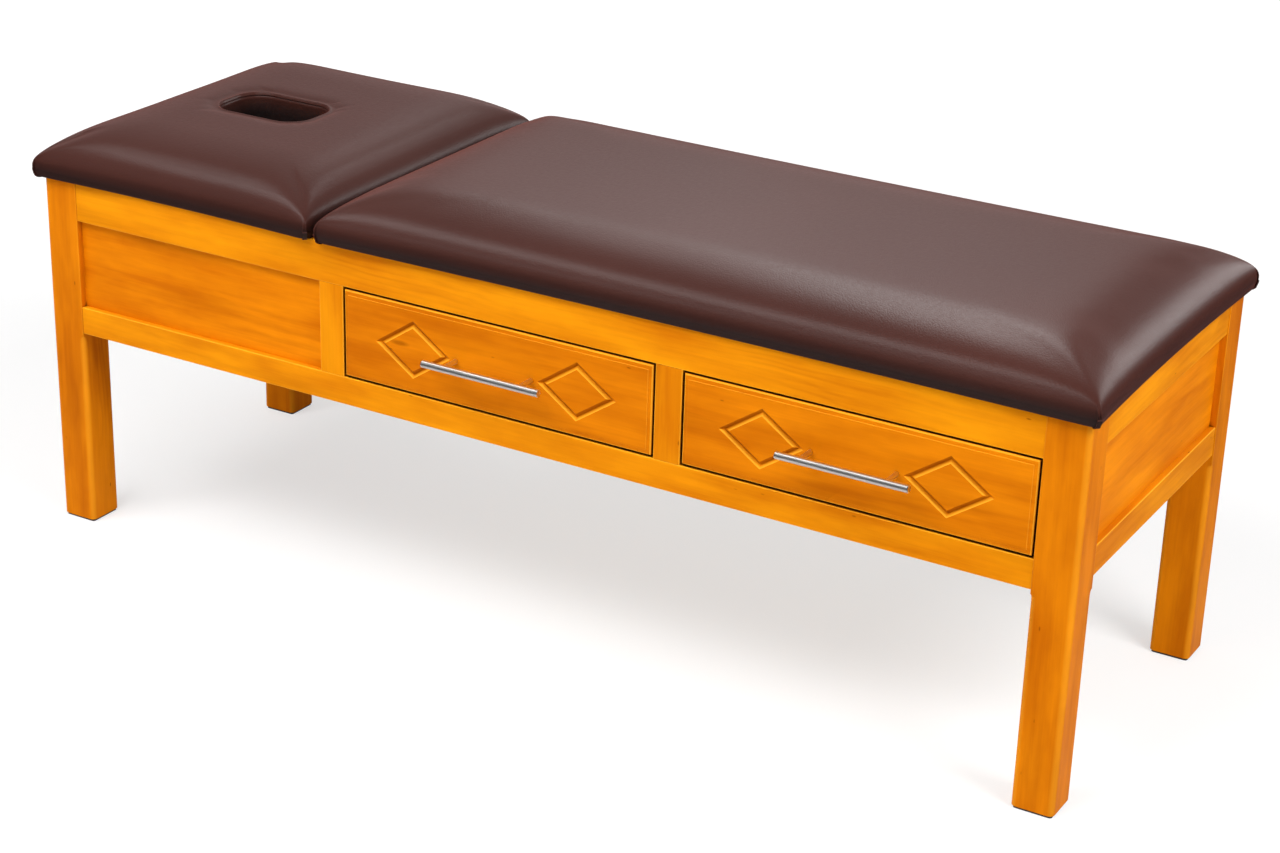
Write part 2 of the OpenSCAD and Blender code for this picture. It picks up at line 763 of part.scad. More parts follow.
// A crowned, closed cushion on a rectangle of half sizes hx and hy. Its foot tucks in, its
// long and short sides pull in between the corners, and dip_x places the dip of a hole.
module cushion(hx, hy, draw_head, draw_foot, has_hole, dip_x) {
    xs = stations(hx);
    ys = stations(hy);
    nx = len(xs);
    ny = len(ys);
    top = [for (i = [0 : nx - 1], j = [0 : ny - 1])
        let (x = xs[i][0], y = ys[j][0],
             pull_x = drawn(y, hy, x < 0 ? draw_head : draw_foot),
             pull_y = drawn(x, hx, pad_drawn_in))
        [x * (1 - pull_x / hx), y * (1 - pull_y / hy),
         pad_wall + pad_crown * joined_rise(xs[i][1], ys[j][1])
             - (has_hole ? lip_dip(x - dip_x, y) : 0)]];
    rim = concat([for (i = [0 : nx - 1]) i * ny], [for (j = [1 : ny - 1]) (nx - 1) * ny + j],
                 [for (i = [nx - 2 : -1 : 0]) i * ny + ny - 1], [for (j = [ny - 2 : -1 : 1]) j]);
    count = len(rim);
    foot = [for (k = rim) [top[k][0] * (1 - pad_tuck / hx), top[k][1] * (1 - pad_tuck / hy), 0]];
    points = concat(top, foot, [[0, 0, 0]]);
    base = nx * ny;
    top_faces = [for (i = [0 : nx - 2], j = [0 : ny - 2], half = [0, 1])
        let (a = i * ny + j, b = (i + 1) * ny + j, rising = (2 * i < nx - 1) == (2 * j < ny - 1))
        rising ? (half == 0 ? [a, b + 1, b] : [a, a + 1, b + 1])
               : (half == 0 ? [a, a + 1, b] : [a + 1, b + 1, b])];
    wall_faces = [for (k = [0 : count - 1], half = [0, 1])
        let (n = (k + 1) % count)
        half == 0 ? [rim[k], rim[n], base + n] : [rim[k], base + n, base + k]];
    foot_faces = [for (k = [0 : count - 1]) [base + k, base + (k + 1) % count, base + count]];
    polyhedron(points, concat(top_faces, wall_faces, foot_faces));
}

// The boards, or the room they take in their pads when grown by a clearance
module board_blank(x_low, x_high, gap) {
    block([x_low - gap, -board_half_width - gap, pad_base - gap],
          [x_high + gap, board_half_width + gap, pad_base + board_thick + gap]);
}

module body_board_blank(gap) {
    board_blank(split_x + board_split_inset, half_length - board_inset, gap);
}

module head_board_blank(gap) {
    board_blank(board_inset - half_length, split_x - board_split_inset, gap);
}

// Upright shaft with the face hole's outline, grown by a clearance
module hole_shaft(grow, low, high) {
    r = hole_round + grow;
    translate([hole_x, 0, low]) linear_extrude(high - low) {
        square([hole_length + 2 * grow, hole_width - 2 * hole_round], center = true);
        square([hole_length - 2 * hole_round, hole_width + 2 * grow], center = true);
        for (sx = [-1, 1], sy = [-1, 1])
            translate([sx * (hole_length / 2 - hole_round), sy * (hole_width / 2 - hole_round)])
                circle(r);
    }
}

// Notches in the pads that leave the hinges' barrels free
module hinge_notches() {
    both_sides(hinge_spacing / 2)
        block([split_x - board_split_inset, -hinge_width / 2 - hinge_notch, pad_base - over],
              [split_x + board_split_inset, hinge_width / 2 + hinge_notch,
               hinge_z + hinge_barrel_r + hinge_notch]);
}

module body_board() {
    color("tan") placed() difference() {
        body_board_blank(0);
        leaf_plates(1, pin_gap);
        leaf_screw_places(1) cylinder(r = leaf_screw_r + pin_gap, h = leaf_screw_length + over);
        pad_screw_places() cylinder(d = screw_bore, h = screw_reach);
    }
}

module body_pad() {
    color("saddlebrown") placed() difference() {
        translate([(body_low + body_high) / 2, 0, pad_base])
            cushion((body_high - body_low) / 2, pad_half_width, 0, pad_drawn_in, false, 0);
        body_board_blank(board_play);
        hinge_notches();
    }
}

module head_board() {
    color("tan") placed() difference() {
        head_board_blank(0);
        leaf_plates(-1, pin_gap);
        leaf_screw_places(-1) cylinder(r = leaf_screw_r + pin_gap, h = leaf_screw_length + over);
        hole_shaft(hole_board_play, pad_base - over, pad_base + board_thick + over);
    }
}

module head_pad() {
    middle = (head_low + head_high) / 2;
    color("saddlebrown") placed() difference() {
        translate([middle, 0, pad_base])
            cushion((head_high - head_low) / 2, pad_half_width, pad_drawn_in, 0, true,
                    hole_x - middle);
        head_board_blank(board_play);
        hinge_notches();
        hole_shaft(0, pad_base - over, pad_base + pad_wall + pad_crown + over);
    }
}

// Hinges: leaves let into the boards, with upstands that reach the barrel.
// The fixed leaf holds the barrel's two ends and the head's leaf its middle.
// The two X values at a near and a far distance on one side of the split
function span(side, near, far) = side > 0 ? [near, far] : [-far, -near];

module leaf_plates(side, gap) {
    xs = span(side, hinge_barrel_r - hinge_leaf - gap, hinge_leaf_length + gap);
    both_sides(hinge_spacing / 2)
        block([split_x + xs[0], -hinge_width / 2 - gap, pad_base - gap],
              [split_x + xs[1], hinge_width / 2 + gap, pad_base + hinge_leaf + gap]);
}

module leaf_screw_places(side) {
    both_sides(hinge_spacing / 2)
        for (y = [-1, 1] * hinge_width * leaf_screw_share)
            translate([split_x + side * (board_split_inset + hinge_leaf_length) / 2, y, pad_base])
                children();
}

// Countersunk screw, or its hole when grown by a clearance
module leaf_screw(gap) {
    cylinder(r1 = 2 * leaf_screw_r + gap, r2 = leaf_screw_r + gap, h = leaf_screw_r);
    cylinder(r = leaf_screw_r + gap, h = leaf_screw_length);
}

module hinge_leaves(side, places, length, bore) {
    difference() {
        union() {
            leaf_plates(side, 0);
            both_sides(hinge_spacing / 2)
                for (y = places) translate([split_x, y, 0]) {
                    xs = span(side, hinge_barrel_r - hinge_leaf, hinge_barrel_r);
                    translate([0, 0, hinge_z]) bar_y(hinge_barrel_r, length);
                    block([xs[0], -length / 2, pad_base], [xs[1], length / 2, hinge_z]);
                }
        }
        both_sides(hinge_spacing / 2)
            translate([split_x, 0, hinge_z]) bar_y(bore, hinge_width + over);
        leaf_screw_places(side) translate([0, 0, -pin_gap]) leaf_screw(pin_gap);
    }
}

module hinge_fixed_leaves()
    color("silver") placed() hinge_leaves(1, fixed_knuckle_places, knuckle, hinge_pin_r + pin_gap);

module hinge_head_leaves()
    color("lightgray") placed() hinge_leaves(-1, [0], middle_knuckle, hinge_pin_r + pin_gap);

module hinge_fixed_screws() color("gray") placed() leaf_screw_places(1) leaf_screw(0);
module hinge_head_screws() color("gray") placed() leaf_screw_places(-1) leaf_screw(0);

module hinge_pins() {
    color("silver") placed()
        both_sides(hinge_spacing / 2)
            translate([split_x, 0, hinge_z]) bar_y(hinge_pin_r, hinge_width);
}

// Struts: a square tube on a stud low in the frame, and a ratchet bar that slides in it.
// Both pins lie at one distance from the hinge line, so the tube turns by half the tilt.
module along_strut()
    placed() both_sides(strut_y)
        translate([foot_pin_x, 0, foot_pin_z]) rotate([0, strut_lean, 0]) children();

// A place on the bottom rails' inner faces, with Z pointing into the bed
module on_rails()
    placed() for (side = [-1, 1])
        translate([foot_pin_x, side * rail_back_y, foot_pin_z]) rotate([side * 90, 0, 0]) children();

module strut_foot_plates() {
    color("silver") on_rails() difference() {
        union() {
            translate([-plate_half, -plate_half, 0]) cube([2 * plate_half, 2 * plate_half, plate_thick]);
            cylinder(r = boss_r, h = plate_thick + boss_thick);
        }
        translate([0, 0, -over]) cylinder(r = strut_pin_r + pin_gap, h = boss_r + boss_thick);
    }
}

module strut_foot_pins() {
    length = plate_thick + boss_thick + 2 * seat_gap + strut_tube_width;
    color("gray") on_rails() {
        cylinder(r = strut_pin_r, h = length);
        translate([0, 0, length]) cylinder(r = pin_head_r, h = pin_head);
    }
}

module strut_tubes() {
    half = [strut_tube_depth / 2, strut_tube_width / 2, 0];
    wall = [tube_wall, tube_wall, 0];
    color("dimgray") along_strut() difference() {
        union() {
            block(-half, half + [0, 0, tube_length]);
            bar_y(half[0], strut_tube_width);
        }
        block(wall - half + [0, 0, half[0]], half - wall + [0, 0, tube_length + over]);
        bar_y(strut_pin_r + pin_gap, strut_tube_width + over);
    }
}

module strut_collars() {
    half = [strut_tube_depth / 2, strut_tube_width / 2, 0];
    skin = [collar_wall, collar_wall, 0];
    play = [pin_gap, pin_gap, 0];
    color("black") along_strut() difference() {
        block(-half - skin + [0, 0, tube_length + collar_cap - collar_height],
              half + skin + [0, 0, tube_length + collar_cap]);
        block(-half - play, half + play + [0, 0, tube_length + pin_gap]);
        rod_bar(seat_gap);
    }
}

module rod_bar(gap) {
    block([-rod_depth / 2 - gap, -rod_width / 2 - gap, rod_tail],
          [rod_depth / 2 + gap, rod_width / 2 + gap, strut_closed]);
}

// Sloped teeth cut in the bar's edge, then a long eye that lets the ratchet release
module strut_rods() {
    first = rod_tail + ratchet_pitch;
    count = floor((strut_closed - 2 * eye_r - ratchet_pitch - first) / ratchet_pitch);
    color("silver") along_strut() difference() {
        union() {
            rod_bar(0);
            translate([0, 0, strut_closed + slot_play]) bar_y(eye_r, rod_width);
        }
        for (i = [0 : count - 1])
            translate([rod_depth / 2, 0, first + i * ratchet_pitch]) rotate([90, 0, 0])
                linear_extrude(rod_width + over, center = true)
                    polygon([[-ratchet_depth, 0], [over, 0],
                             [over, ratchet_pitch * tooth_share], [0, ratchet_pitch * tooth_share]]);
        for (end = [-1, 1])
            translate([0, 0, strut_closed + end * slot_play])
                bar_y(strut_pin_r + pin_gap, rod_width + over);
        block([-strut_pin_r - pin_gap, -rod_width, strut_closed - slot_play],
              [strut_pin_r + pin_gap, rod_width, strut_closed + slot_play]);
    }
}

// A place at the struts' upper pins
module at_head_pins()
    placed() both_sides(strut_y) translate([head_pin_x, 0, head_pin_z]) children();

module strut_head_brackets() {
    top = pad_base - head_pin_z;
    color("silver") at_head_pins() difference() {
        union() {
            block([-bracket_half_length, -bracket_half - bracket_ear, top - plate_thick],
                  [bracket_half_length, bracket_half + bracket_ear, top]);
            both_sides(bracket_half + bracket_ear / 2) {
                bar_y(eye_r, bracket_ear);
                block([-eye_r, -bracket_ear / 2, 0], [eye_r, bracket_ear / 2, top - plate_thick]);
            }
        }
        bar_y(strut_pin_r + pin_gap, 2 * (bracket_half + bracket_ear) + over);
    }
}

module strut_head_pins() {
    half = bracket_half + bracket_ear;
    color("gray") at_head_pins() {
        bar_y(strut_pin_r, 2 * half);
        both_sides(half + pin_head / 2) bar_y(pin_head_r, pin_head);
    }
}

// Each drawer in its place
module drawer_1_front() drawer_front(drawer_1_x);
module drawer_1_sides() drawer_sides(drawer_1_x);
module drawer_1_back() drawer_back(drawer_1_x);
module drawer_1_bottom() drawer_bottom(drawer_1_x);
module drawer_1_handle_bar() handle_bar(drawer_1_x);
module drawer_1_handle_posts() handle_posts(drawer_1_x);
module drawer_1_handle_screws() handle_screws(drawer_1_x);
module drawer_1_slide_middle() slide_middle(drawer_1_x);
module drawer_1_slide_inner() slide_inner(drawer_1_x);
module drawer_2_front() drawer_front(drawer_2_x);
module drawer_2_sides() drawer_sides(drawer_2_x);
module drawer_2_back() drawer_back(drawer_2_x);
module drawer_2_bottom() drawer_bottom(drawer_2_x);
module drawer_2_handle_bar() handle_bar(drawer_2_x);
module drawer_2_handle_posts() handle_posts(drawer_2_x);
module drawer_2_handle_screws() handle_screws(drawer_2_x);
module drawer_2_slide_middle() slide_middle(drawer_2_x);
module drawer_2_slide_inner() slide_inner(drawer_2_x);

leg_front_left();
leg_front_right();
leg_back_left();
leg_back_right();
leg_glides();
front_top_rail();
front_bottom_rail();
back_top_rail();
back_bottom_rail();
head_end_top_rail();
head_end_bottom_rail();
foot_end_top_rail();
foot_end_bottom_rail();
front_stiles();
back_stiles();
front_panel();
back_panels();
head_end_panel();
foot_end_panel();
partitions();
runner_cleats();
cabinet_floor();
floor_ledgers();
cross_bearers();
pad_screws();
slide_cabinet_members();
body_board();
body_pad();
hinge_fixed_leaves();
hinge_fixed_screws();
hinge_pins();
strut_foot_plates();
strut_foot_pins();
head_board();
head_pad();
hinge_head_leaves();
hinge_head_screws();
strut_head_brackets();
strut_head_pins();
strut_tubes();
strut_collars();
strut_rods();
drawer_1_front();
drawer_1_sides();
drawer_1_back();
drawer_1_bottom();
drawer_1_handle_bar();
drawer_1_handle_posts();
drawer_1_handle_screws();
drawer_1_slide_middle();
drawer_1_slide_inner();
drawer_2_front();
drawer_2_sides();
drawer_2_back();
drawer_2_bottom();
drawer_2_handle_bar();
drawer_2_handle_posts();
drawer_2_handle_screws();
drawer_2_slide_middle();
drawer_2_slide_inner();
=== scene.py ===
# %% [markdown]
# # A spa bed with a cabinet base
#
# The bed is a honey-coloured wooden table with two moulded drawers in its front. Two brown
# pads lie on it: a long one and a shorter head section with a face hole, which tilts.
#
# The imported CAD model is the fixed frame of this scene. It says where every piece is and how
# it moves. Blender adds what the eye sees: soft arrises that catch the light, grain that runs
# along each board, the full pillow shape of the pads and their grained cover. So each cell
# asks the frame for a place, works out a surface with numpy and puts it exactly there.

# %% Load the frame
import json
import math

import bmesh
import bpy
import numpy as np
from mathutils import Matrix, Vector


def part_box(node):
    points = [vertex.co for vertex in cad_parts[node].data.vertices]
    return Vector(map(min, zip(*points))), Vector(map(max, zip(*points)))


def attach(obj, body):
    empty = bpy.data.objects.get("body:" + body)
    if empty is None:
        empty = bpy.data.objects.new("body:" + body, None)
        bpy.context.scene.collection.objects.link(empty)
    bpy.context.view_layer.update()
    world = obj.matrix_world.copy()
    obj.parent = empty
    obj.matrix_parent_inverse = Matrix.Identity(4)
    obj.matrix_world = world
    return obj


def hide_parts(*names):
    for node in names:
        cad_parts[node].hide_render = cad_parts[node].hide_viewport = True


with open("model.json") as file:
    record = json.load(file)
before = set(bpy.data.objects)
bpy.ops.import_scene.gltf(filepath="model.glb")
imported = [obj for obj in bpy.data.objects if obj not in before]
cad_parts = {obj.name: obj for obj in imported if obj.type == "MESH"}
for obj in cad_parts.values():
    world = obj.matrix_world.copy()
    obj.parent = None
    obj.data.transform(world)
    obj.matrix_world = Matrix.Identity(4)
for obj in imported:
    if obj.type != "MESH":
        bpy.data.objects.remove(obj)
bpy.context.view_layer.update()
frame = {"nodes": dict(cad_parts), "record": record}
MM = 0.001
X, Y, Z = 0, 1, 2
TINY = 1e-12  # keeps a root or a quotient defined where it would be nought

# %% [markdown]
# ## The camera
#
# The photograph looks down a little on the front and on the foot end, from a few metres
# away, through a long lens. The place and the turn below are those at which the frame's
# corners fall on the picture's. The lens is given for the long side of the picture.

# %% Camera
scene = bpy.context.scene
camera = bpy.data.objects.new("camera", bpy.data.cameras.new("camera"))
scene.collection.objects.link(camera)
camera.location = (2.0280, -3.4744, 2.0302)
camera.rotation_euler = [math.radians(a) for a in (66.50, -1.62, 30.33)]
camera.data.sensor_width = 36
camera.data.lens = 75.68
scene.camera = camera
scene.view_settings.view_transform = "Standard"
print("camera at", [round(v, 2) for v in camera.location], "with a lens of", camera.data.lens)

# %% [markdown]
# ## A small language for materials
#
# A finish is a tree of shader nodes. Written out in full, each node takes three or four
# lines, which hides the idea. The class below adds a node in one line: keyword arguments
# fill its sockets, and a value may be a number, a colour or another node's output.

# %% Shader helper
class Finish:
    """One procedural material. add() makes a node and joins its inputs."""

    def __init__(self, name):
        self.material = bpy.data.materials.new(name)
        self.material.use_nodes = True
        self.tree = self.material.node_tree
        self.shader = self.tree.nodes["Principled BSDF"]

    def put(self, node, **inputs):
        """Fills sockets by name. An underscore stands for a blank, _0 to _9 for an index."""
        for key, value in inputs.items():
            index = int(key[1:]) if key[0] == "_" else None
            socket = node.inputs[index if index is not None else key.replace("_", " ")]
            if isinstance(value, bpy.types.NodeSocket):
                self.tree.links.new(value, socket)
            else:
                socket.default_value = value
        return node

    def add(self, kind, settings=None, **inputs):
        """A new shader node with its settings, and its sockets filled by put()."""
        node = self.tree.nodes.new("ShaderNode" + kind)
        for key, value in (settings or {}).items():
            setattr(node, key, value)
        return self.put(node, **inputs)

    def math(self, operation, *values):
        """A Math node's result for one, two or three values."""
        inputs = {f"_{i}": v for i, v in enumerate(values)}
        return self.add("Math", {"operation": operation}, **inputs).outputs[0]

    def scaled(self, vector, scale):
        """A vector whose three parts are multiplied by three numbers."""
        return self.add("VectorMath", {"operation": "MULTIPLY"}, _0=vector, _1=scale).outputs[0]

    def place(self):
        """Object coordinates: each point's place in metres."""
        return self.add("TexCoord").outputs["Object"]

    def stored(self, name, part="Fac"):
        """What the mesh stores at each point under a name: a number, or a Vector."""
        return self.add("Attribute", {"attribute_name": name}).outputs[part]

    def noise(self, vector, scale=1.0, detail=2.0, rough=0.5):
        """Cloudy noise from 0 to 1, with scale waves a metre and finer ones on top."""
        node = self.add("TexNoise", Vector=vector, Scale=scale, Detail=detail, Roughness=rough)
        return node.outputs["Fac"]

    def blend(self, amount, first, second):
        """A colour that goes from first to second as amount goes from 0 to 1."""
        node = self.add("Mix", {"data_type": "RGBA"}, _0=amount, _6=first, _7=second)
        return node.outputs[2]

    def spread(self, value, low, high, to_low=0.0, to_high=1.0):
        """Stretches low...high to to_low...to_high and clamps what lies beyond."""
        inputs = {"_1": low, "_2": high, "_3": to_low, "_4": to_high}
        return self.add("MapRange", {"clamp": True}, _0=value, **inputs).outputs[0]

    def bump(self, height, distance, strength):
        """Makes the surface seem to rise by distance metres where height is 1."""
        node = self.add("Bump", Height=height, Strength=strength, Distance=distance)
        self.put(self.shader, Normal=node.outputs[0])


def rgba(red, green, blue):
    """A colour in linear light, as a shader socket wants it."""
    return (red, green, blue, 1.0)


# %% [markdown]
# ## Stained wood
#
# Real boards are cut from a trunk, so their figure is made of rings round the trunk's axis.
# Flames on a wide board and fine lines on a narrow one are the same rings, cut at another
# angle. The finish works in the same way. Every board carries an attribute named grain, a
# place in its own trunk in metres: the first part runs along the board, the other two go
# across. The distance from the axis gives the rings, and noise that is stretched along the
# board makes them wander. Fine fibres, a slow change of tone and a few dark specks come on
# top. Two more attributes follow the shape. One paints an arris pale: partly wear, where the
# stain wears thin, and partly a painted highlight. The other darkens a carving: partly stain
# that pools in it, and partly painted shade on the walls that face down and on the edges in
# the gap round a drawer. An Ambient Occlusion node paints shade into narrow gaps. The
# varnish is satin, with a roughness of about a third, and its mirror is faint and warm.

# %% Wood finish
PALE_WEAR_AND_HIGHLIGHT = rgba(1.0, 0.50, 0.035)  # pale colour on arrises: bare wood where stain wears off, and a painted highlight
GAP_SHADE_REACH = 0.013                    # how near the far side of a gap is for its painted shade, in metres
# Specks: cells a metre along and across, share without one, radius in cells, strength
SPECKS = ((21.0, 62.0, 0.8, 0.1, 0.7), (3.0, 11.0, 0.72, 0.06, 0.5), (4.0, 19.0, 0.6, 0.5, 0.16))


def wood_finish(name, pale, deep, ring=0.011, rings=0.18, rough=0.3, coords=None):
    """Tone = cloud + board + masked rings + streaks + fibres, each times its weight. Rings:
    a power of the sine of the wandering distance from the trunk's axis over the ring width."""
    f = Finish(name)
    grain = coords(f) if coords else f.stored("grain", "Vector")

    def stretched(along, across):
        """The place in the trunk, in waves a metre along and across the board."""
        return f.scaled(grain, (along, across, across))

    parts = f.add("SeparateXYZ", Vector=grain).outputs
    axis = f.math("SQRT", f.math("ADD", f.math("POWER", parts[1], 2.0),
                                 f.math("POWER", parts[2], 2.0)))
    wander = f.noise(stretched(2.4, 13.0), detail=3.0)
    radius = f.math("MULTIPLY_ADD", wander, 0.07, axis)
    wave = f.math("SINE", f.math("MULTIPLY", radius, 2 * math.pi / ring))
    mask = f.spread(f.noise(stretched(1.9, 8.0), detail=1.0), 0.42, 0.62)
    late = f.math("MULTIPLY", f.math("POWER", f.spread(wave, -1.0, 1.0), 2.0), mask)
    fibre = f.noise(stretched(7.0, 330.0), detail=3.0, rough=0.62)
    streak = f.noise(stretched(3.0, 60.0), detail=2.0, rough=0.55)
    cloud = f.noise(stretched(4.2, 17.0), detail=4.0, rough=0.55)
    whole = f.noise(stretched(0.45, 0.0), detail=0.0)
    tone = f.math("MULTIPLY", f.spread(cloud, 0.34, 0.66), 0.62)
    for layer, weight in ((f.spread(whole, 0.35, 0.65), 0.18), (late, rings),
                          (f.spread(streak, 0.3, 0.7), 0.2), (f.spread(fibre, 0.3, 0.72), 0.15)):
        tone = f.math("MULTIPLY_ADD", layer, weight, tone)
    colour = f.blend(tone, pale, deep)
    # A dark colour for the specks, and also for the painted shade in carvings
    dark = rgba(deep[0] * 0.4, deep[1] * 0.3, deep[2] * 0.3)
    for along, across, rarity, size, strength in SPECKS:
        speck = f.add("TexVoronoi", Vector=stretched(along, across), Scale=1.0).outputs
        rare = f.add("SeparateColor", Color=speck["Color"]).outputs[0]
        spot = f.math("MULTIPLY", f.spread(speck["Distance"], size * 0.4, size, 1.0, 0.0),
                      f.math("GREATER_THAN", rare, rarity))
        colour = f.blend(f.math("MULTIPLY", spot, strength), colour, dark)
    if not coords:
        # Painted shade, with some stain, in carvings and on the edges in a drawer's gap
        colour = f.blend(f.math("MULTIPLY", f.stored("stain_and_shade"), 0.6), colour, dark)
        # Pale arrises: painted highlight, and wear where the stain wears off
        colour = f.blend(f.math("MULTIPLY", f.stored("rubbed"), 0.55), colour, PALE_WEAR_AND_HIGHLIGHT)
        # Painted shade in narrow gaps: Ambient Occlusion pulls the colour towards near black
        open_share = f.add("AmbientOcclusion", {"samples": 12}, Distance=GAP_SHADE_REACH).outputs["AO"]
        colour = f.blend(f.spread(open_share, 0.2, 0.47, 0.97, 0.0), colour,
                         rgba(*[0.05 * c for c in deep[:3]]))
    f.put(f.shader, Base_Color=colour, Roughness=f.spread(fibre, 0.2, 0.8, rough, rough + 0.08),
          Specular_Tint=rgba(1.0, 0.66, 0.2), Specular_IOR_Level=0.035)
    f.bump(fibre, 0.00008, 0.4)
    return f.material


stained = wood_finish("stained_wood", rgba(0.875, 0.320, 0.004), rgba(0.575, 0.153, 0.0015))
# The legs' copy is darker than the rails': partly a board's own tone, partly painted shade, as the
# light from above falls more on the rails
stained_leg = wood_finish("stained_leg", rgba(0.765, 0.229, 0.003), rgba(0.475, 0.107, 0.001))
stained_panel = wood_finish("stained_panel", rgba(0.88, 0.280, 0.003), rgba(0.56, 0.132, 0.001),
                            ring=0.020, rings=0.24)
stained_front = wood_finish("stained_front", rgba(0.79, 0.235, 0.003), rgba(0.50, 0.117, 0.001),
                            ring=0.016, rings=0.16)
print("wood finishes:", [m.name for m in (stained, stained_leg, stained_panel, stained_front)])

# %% [markdown]
# ## Boards
#
# A board is a profile carried along a straight path. The profile is a rectangle whose
# corners are small arcs, and near the board's ends it shrinks along the same arc, so every
# arris is round, as sandpaper leaves it. A sharp edge never catches light, and a row of
# soft ones is what makes joinery look real. Beside every arc lies one more ring on the flat
# face: it keeps smooth shading inside the arc, so the flats stay flat.

# %% Surface helpers
ARC = 3                 # steps in each arc of an arris
AROUND = 4 * (ARC + 3)  # points round a profile: four arcs, each with two on the flats
ARRIS = 1.1 * MM        # radius of a sanded edge
END = 0.35 * MM         # radius at a board's ends, where it meets another board
HOLD = 1.2 * MM         # distance from an arc to the ring that keeps a face flat


def outline(half, radii):
    """Closed profile of a rectangle with round corners: centre of arc plus radius times
    direction, with one point on the flat before each arc and one after it."""
    signs = np.array([(1, 1), (-1, 1), (-1, -1), (1, -1)], float)
    start = np.arange(4) * np.pi / 2
    turn = start[:, None] + np.linspace(0, np.pi / 2, ARC + 1)[None, :]
    direction = np.stack([np.cos(turn), np.sin(turn)], -1)
    arcs = (signs * (half - radii[:, None]))[:, None, :] + radii[:, None, None] * direction
    tangent = np.stack([-np.sin(turn), np.cos(turn)], -1)
    before = arcs[:, :1] - HOLD * tangent[:, :1]
    after = arcs[:, -1:] + HOLD * tangent[:, -1:]
    return np.concatenate([before, arcs, after], 1).reshape(-1, 2)


def quads(*corners):
    """Lists of four point numbers, from an array for each of a quad's corners."""
    return np.stack(corners, -1).reshape(-1, 4).tolist()


def tube_faces(rings, around):
    """Quads between neighbouring rings, and a face that closes each end."""
    i, j = np.meshgrid(np.arange(rings - 1), np.arange(around), indexing="ij")
    a, b = i * around + j, i * around + (j + 1) % around
    ends = [list(range(around))[::-1], list(range((rings - 1) * around, rings * around))]
    return quads(a, b, b + around, a + around) + ends


def end_steps(length):
    """Places along a board and how far its profile shrinks there: an arc at both ends."""
    turn = np.linspace(0, np.pi / 2, ARC + 1)
    shrink = np.r_[END + HOLD, END * (1 - np.sin(turn)), 0]
    depth = np.r_[0, END * (1 - np.cos(turn)), END + HOLD]
    return np.r_[depth, (length - depth)[::-1]], np.r_[shrink, shrink[::-1]]


def board(low, high, along, corners):
    """A board between two corners: its profile carried along one axis. corners may hold
    more places along the board and a rule that gives the profile's four radii at a place."""
    low, high = np.array(low, float), np.array(high, float)
    sides = [k for k in (X, Y, Z) if k != along]
    places, shrink = end_steps(high[along] - low[along])
    if corners:
        extra, radii_at = corners
        places, shrink = np.r_[places, extra], np.r_[shrink, np.zeros(len(extra))]
        order = np.argsort(places, kind="stable")
        places, shrink = places[order], shrink[order]
    rings = []
    for place, inset in zip(places, shrink):
        radii = radii_at(place) if corners else np.full(4, ARRIS)
        ring = np.empty((AROUND, 3))
        ring[:, sides] = (low + high)[sides] / 2 + outline(
            (high - low)[sides] / 2 - inset, np.maximum(radii - inset, 0))
        ring[:, along] = low[along] + place
        rings.append(ring)
    return np.concatenate(rings), tube_faces(len(rings), AROUND)


# %% [markdown]
# The next cell turns surfaces into pieces. One piece may hold several boards, because a CAD
# node may too. Each board gets its own trunk: a random place and turn, drawn from a seeded
# generator, so that no two boards share their figure and every run gives the same bed.

# %% Pieces of wood
trunks = np.random.default_rng(7)
LEAN = 0.012  # how far a board may lean in its trunk, as a slope


def grain_of(points, along, pith):
    """Place of each point in its trunk: along, across and through the board, turned by a
    random angle, tilted so that rings run out of the face, and moved pith metres away."""
    sides = [k for k in (X, Y, Z) if k != along]
    middle = (points.min(0) + points.max(0)) / 2
    local = (points - middle)[:, [along] + sides]
    turn, lean = trunks.uniform(0, 2 * np.pi), trunks.uniform(-LEAN, LEAN, 2)
    c, s = np.cos(turn), np.sin(turn)
    across = local[:, 1] + lean[0] * local[:, 0]
    through = local[:, 2] + lean[1] * local[:, 0]
    return np.stack([local[:, 0] + trunks.uniform(-9, 9),
                     c * across - s * through + pith * trunks.uniform(0.8, 1.2),
                     s * across + c * through], -1)


def points_of(mesh):
    """A mesh's points as an array."""
    flat = np.empty(len(mesh.vertices) * 3)
    mesh.vertices.foreach_get("co", flat)
    return flat.reshape(-1, 3)


def lengths(rows):
    """The length of each row's vector, as a column."""
    return np.linalg.norm(rows, axis=-1, keepdims=True)


def new_object(name, points, faces, material, sharp=35, merge=True, **stored):
    """Mesh of points and faces: doubles merged, faces turned outwards, smooth but for
    edges sharper than an angle in degrees. stored holds a number or a place per point."""
    mesh = bpy.data.meshes.new(name)
    mesh.from_pydata(points.tolist(), [], faces)
    for key, values in stored.items():
        kind, part = ("FLOAT_VECTOR", "vector") if values.ndim == 2 else ("FLOAT", "value")
        attribute = mesh.attributes.new(key, kind, "POINT")
        attribute.data.foreach_set(part, values.astype(np.float32).ravel())
    bm = bmesh.new()
    bm.from_mesh(mesh)
    if merge:
        bmesh.ops.remove_doubles(bm, verts=bm.verts, dist=1e-6)
    bmesh.ops.recalc_face_normals(bm, faces=bm.faces)
    bm.to_mesh(mesh)
    bm.free()
    mesh.polygons.foreach_set("use_smooth", np.ones(len(mesh.polygons), bool))
    mesh.set_sharp_from_angle(angle=math.radians(sharp))
    mesh.materials.append(material)
    thing = bpy.data.objects.new(name, mesh)
    scene.collection.objects.link(thing)
    return thing


def settle(piece, body, node=None):
    """Rides a finished piece on its body and lets it stand for its CAD node."""
    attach(piece, body)
    if node:
        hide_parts(node)


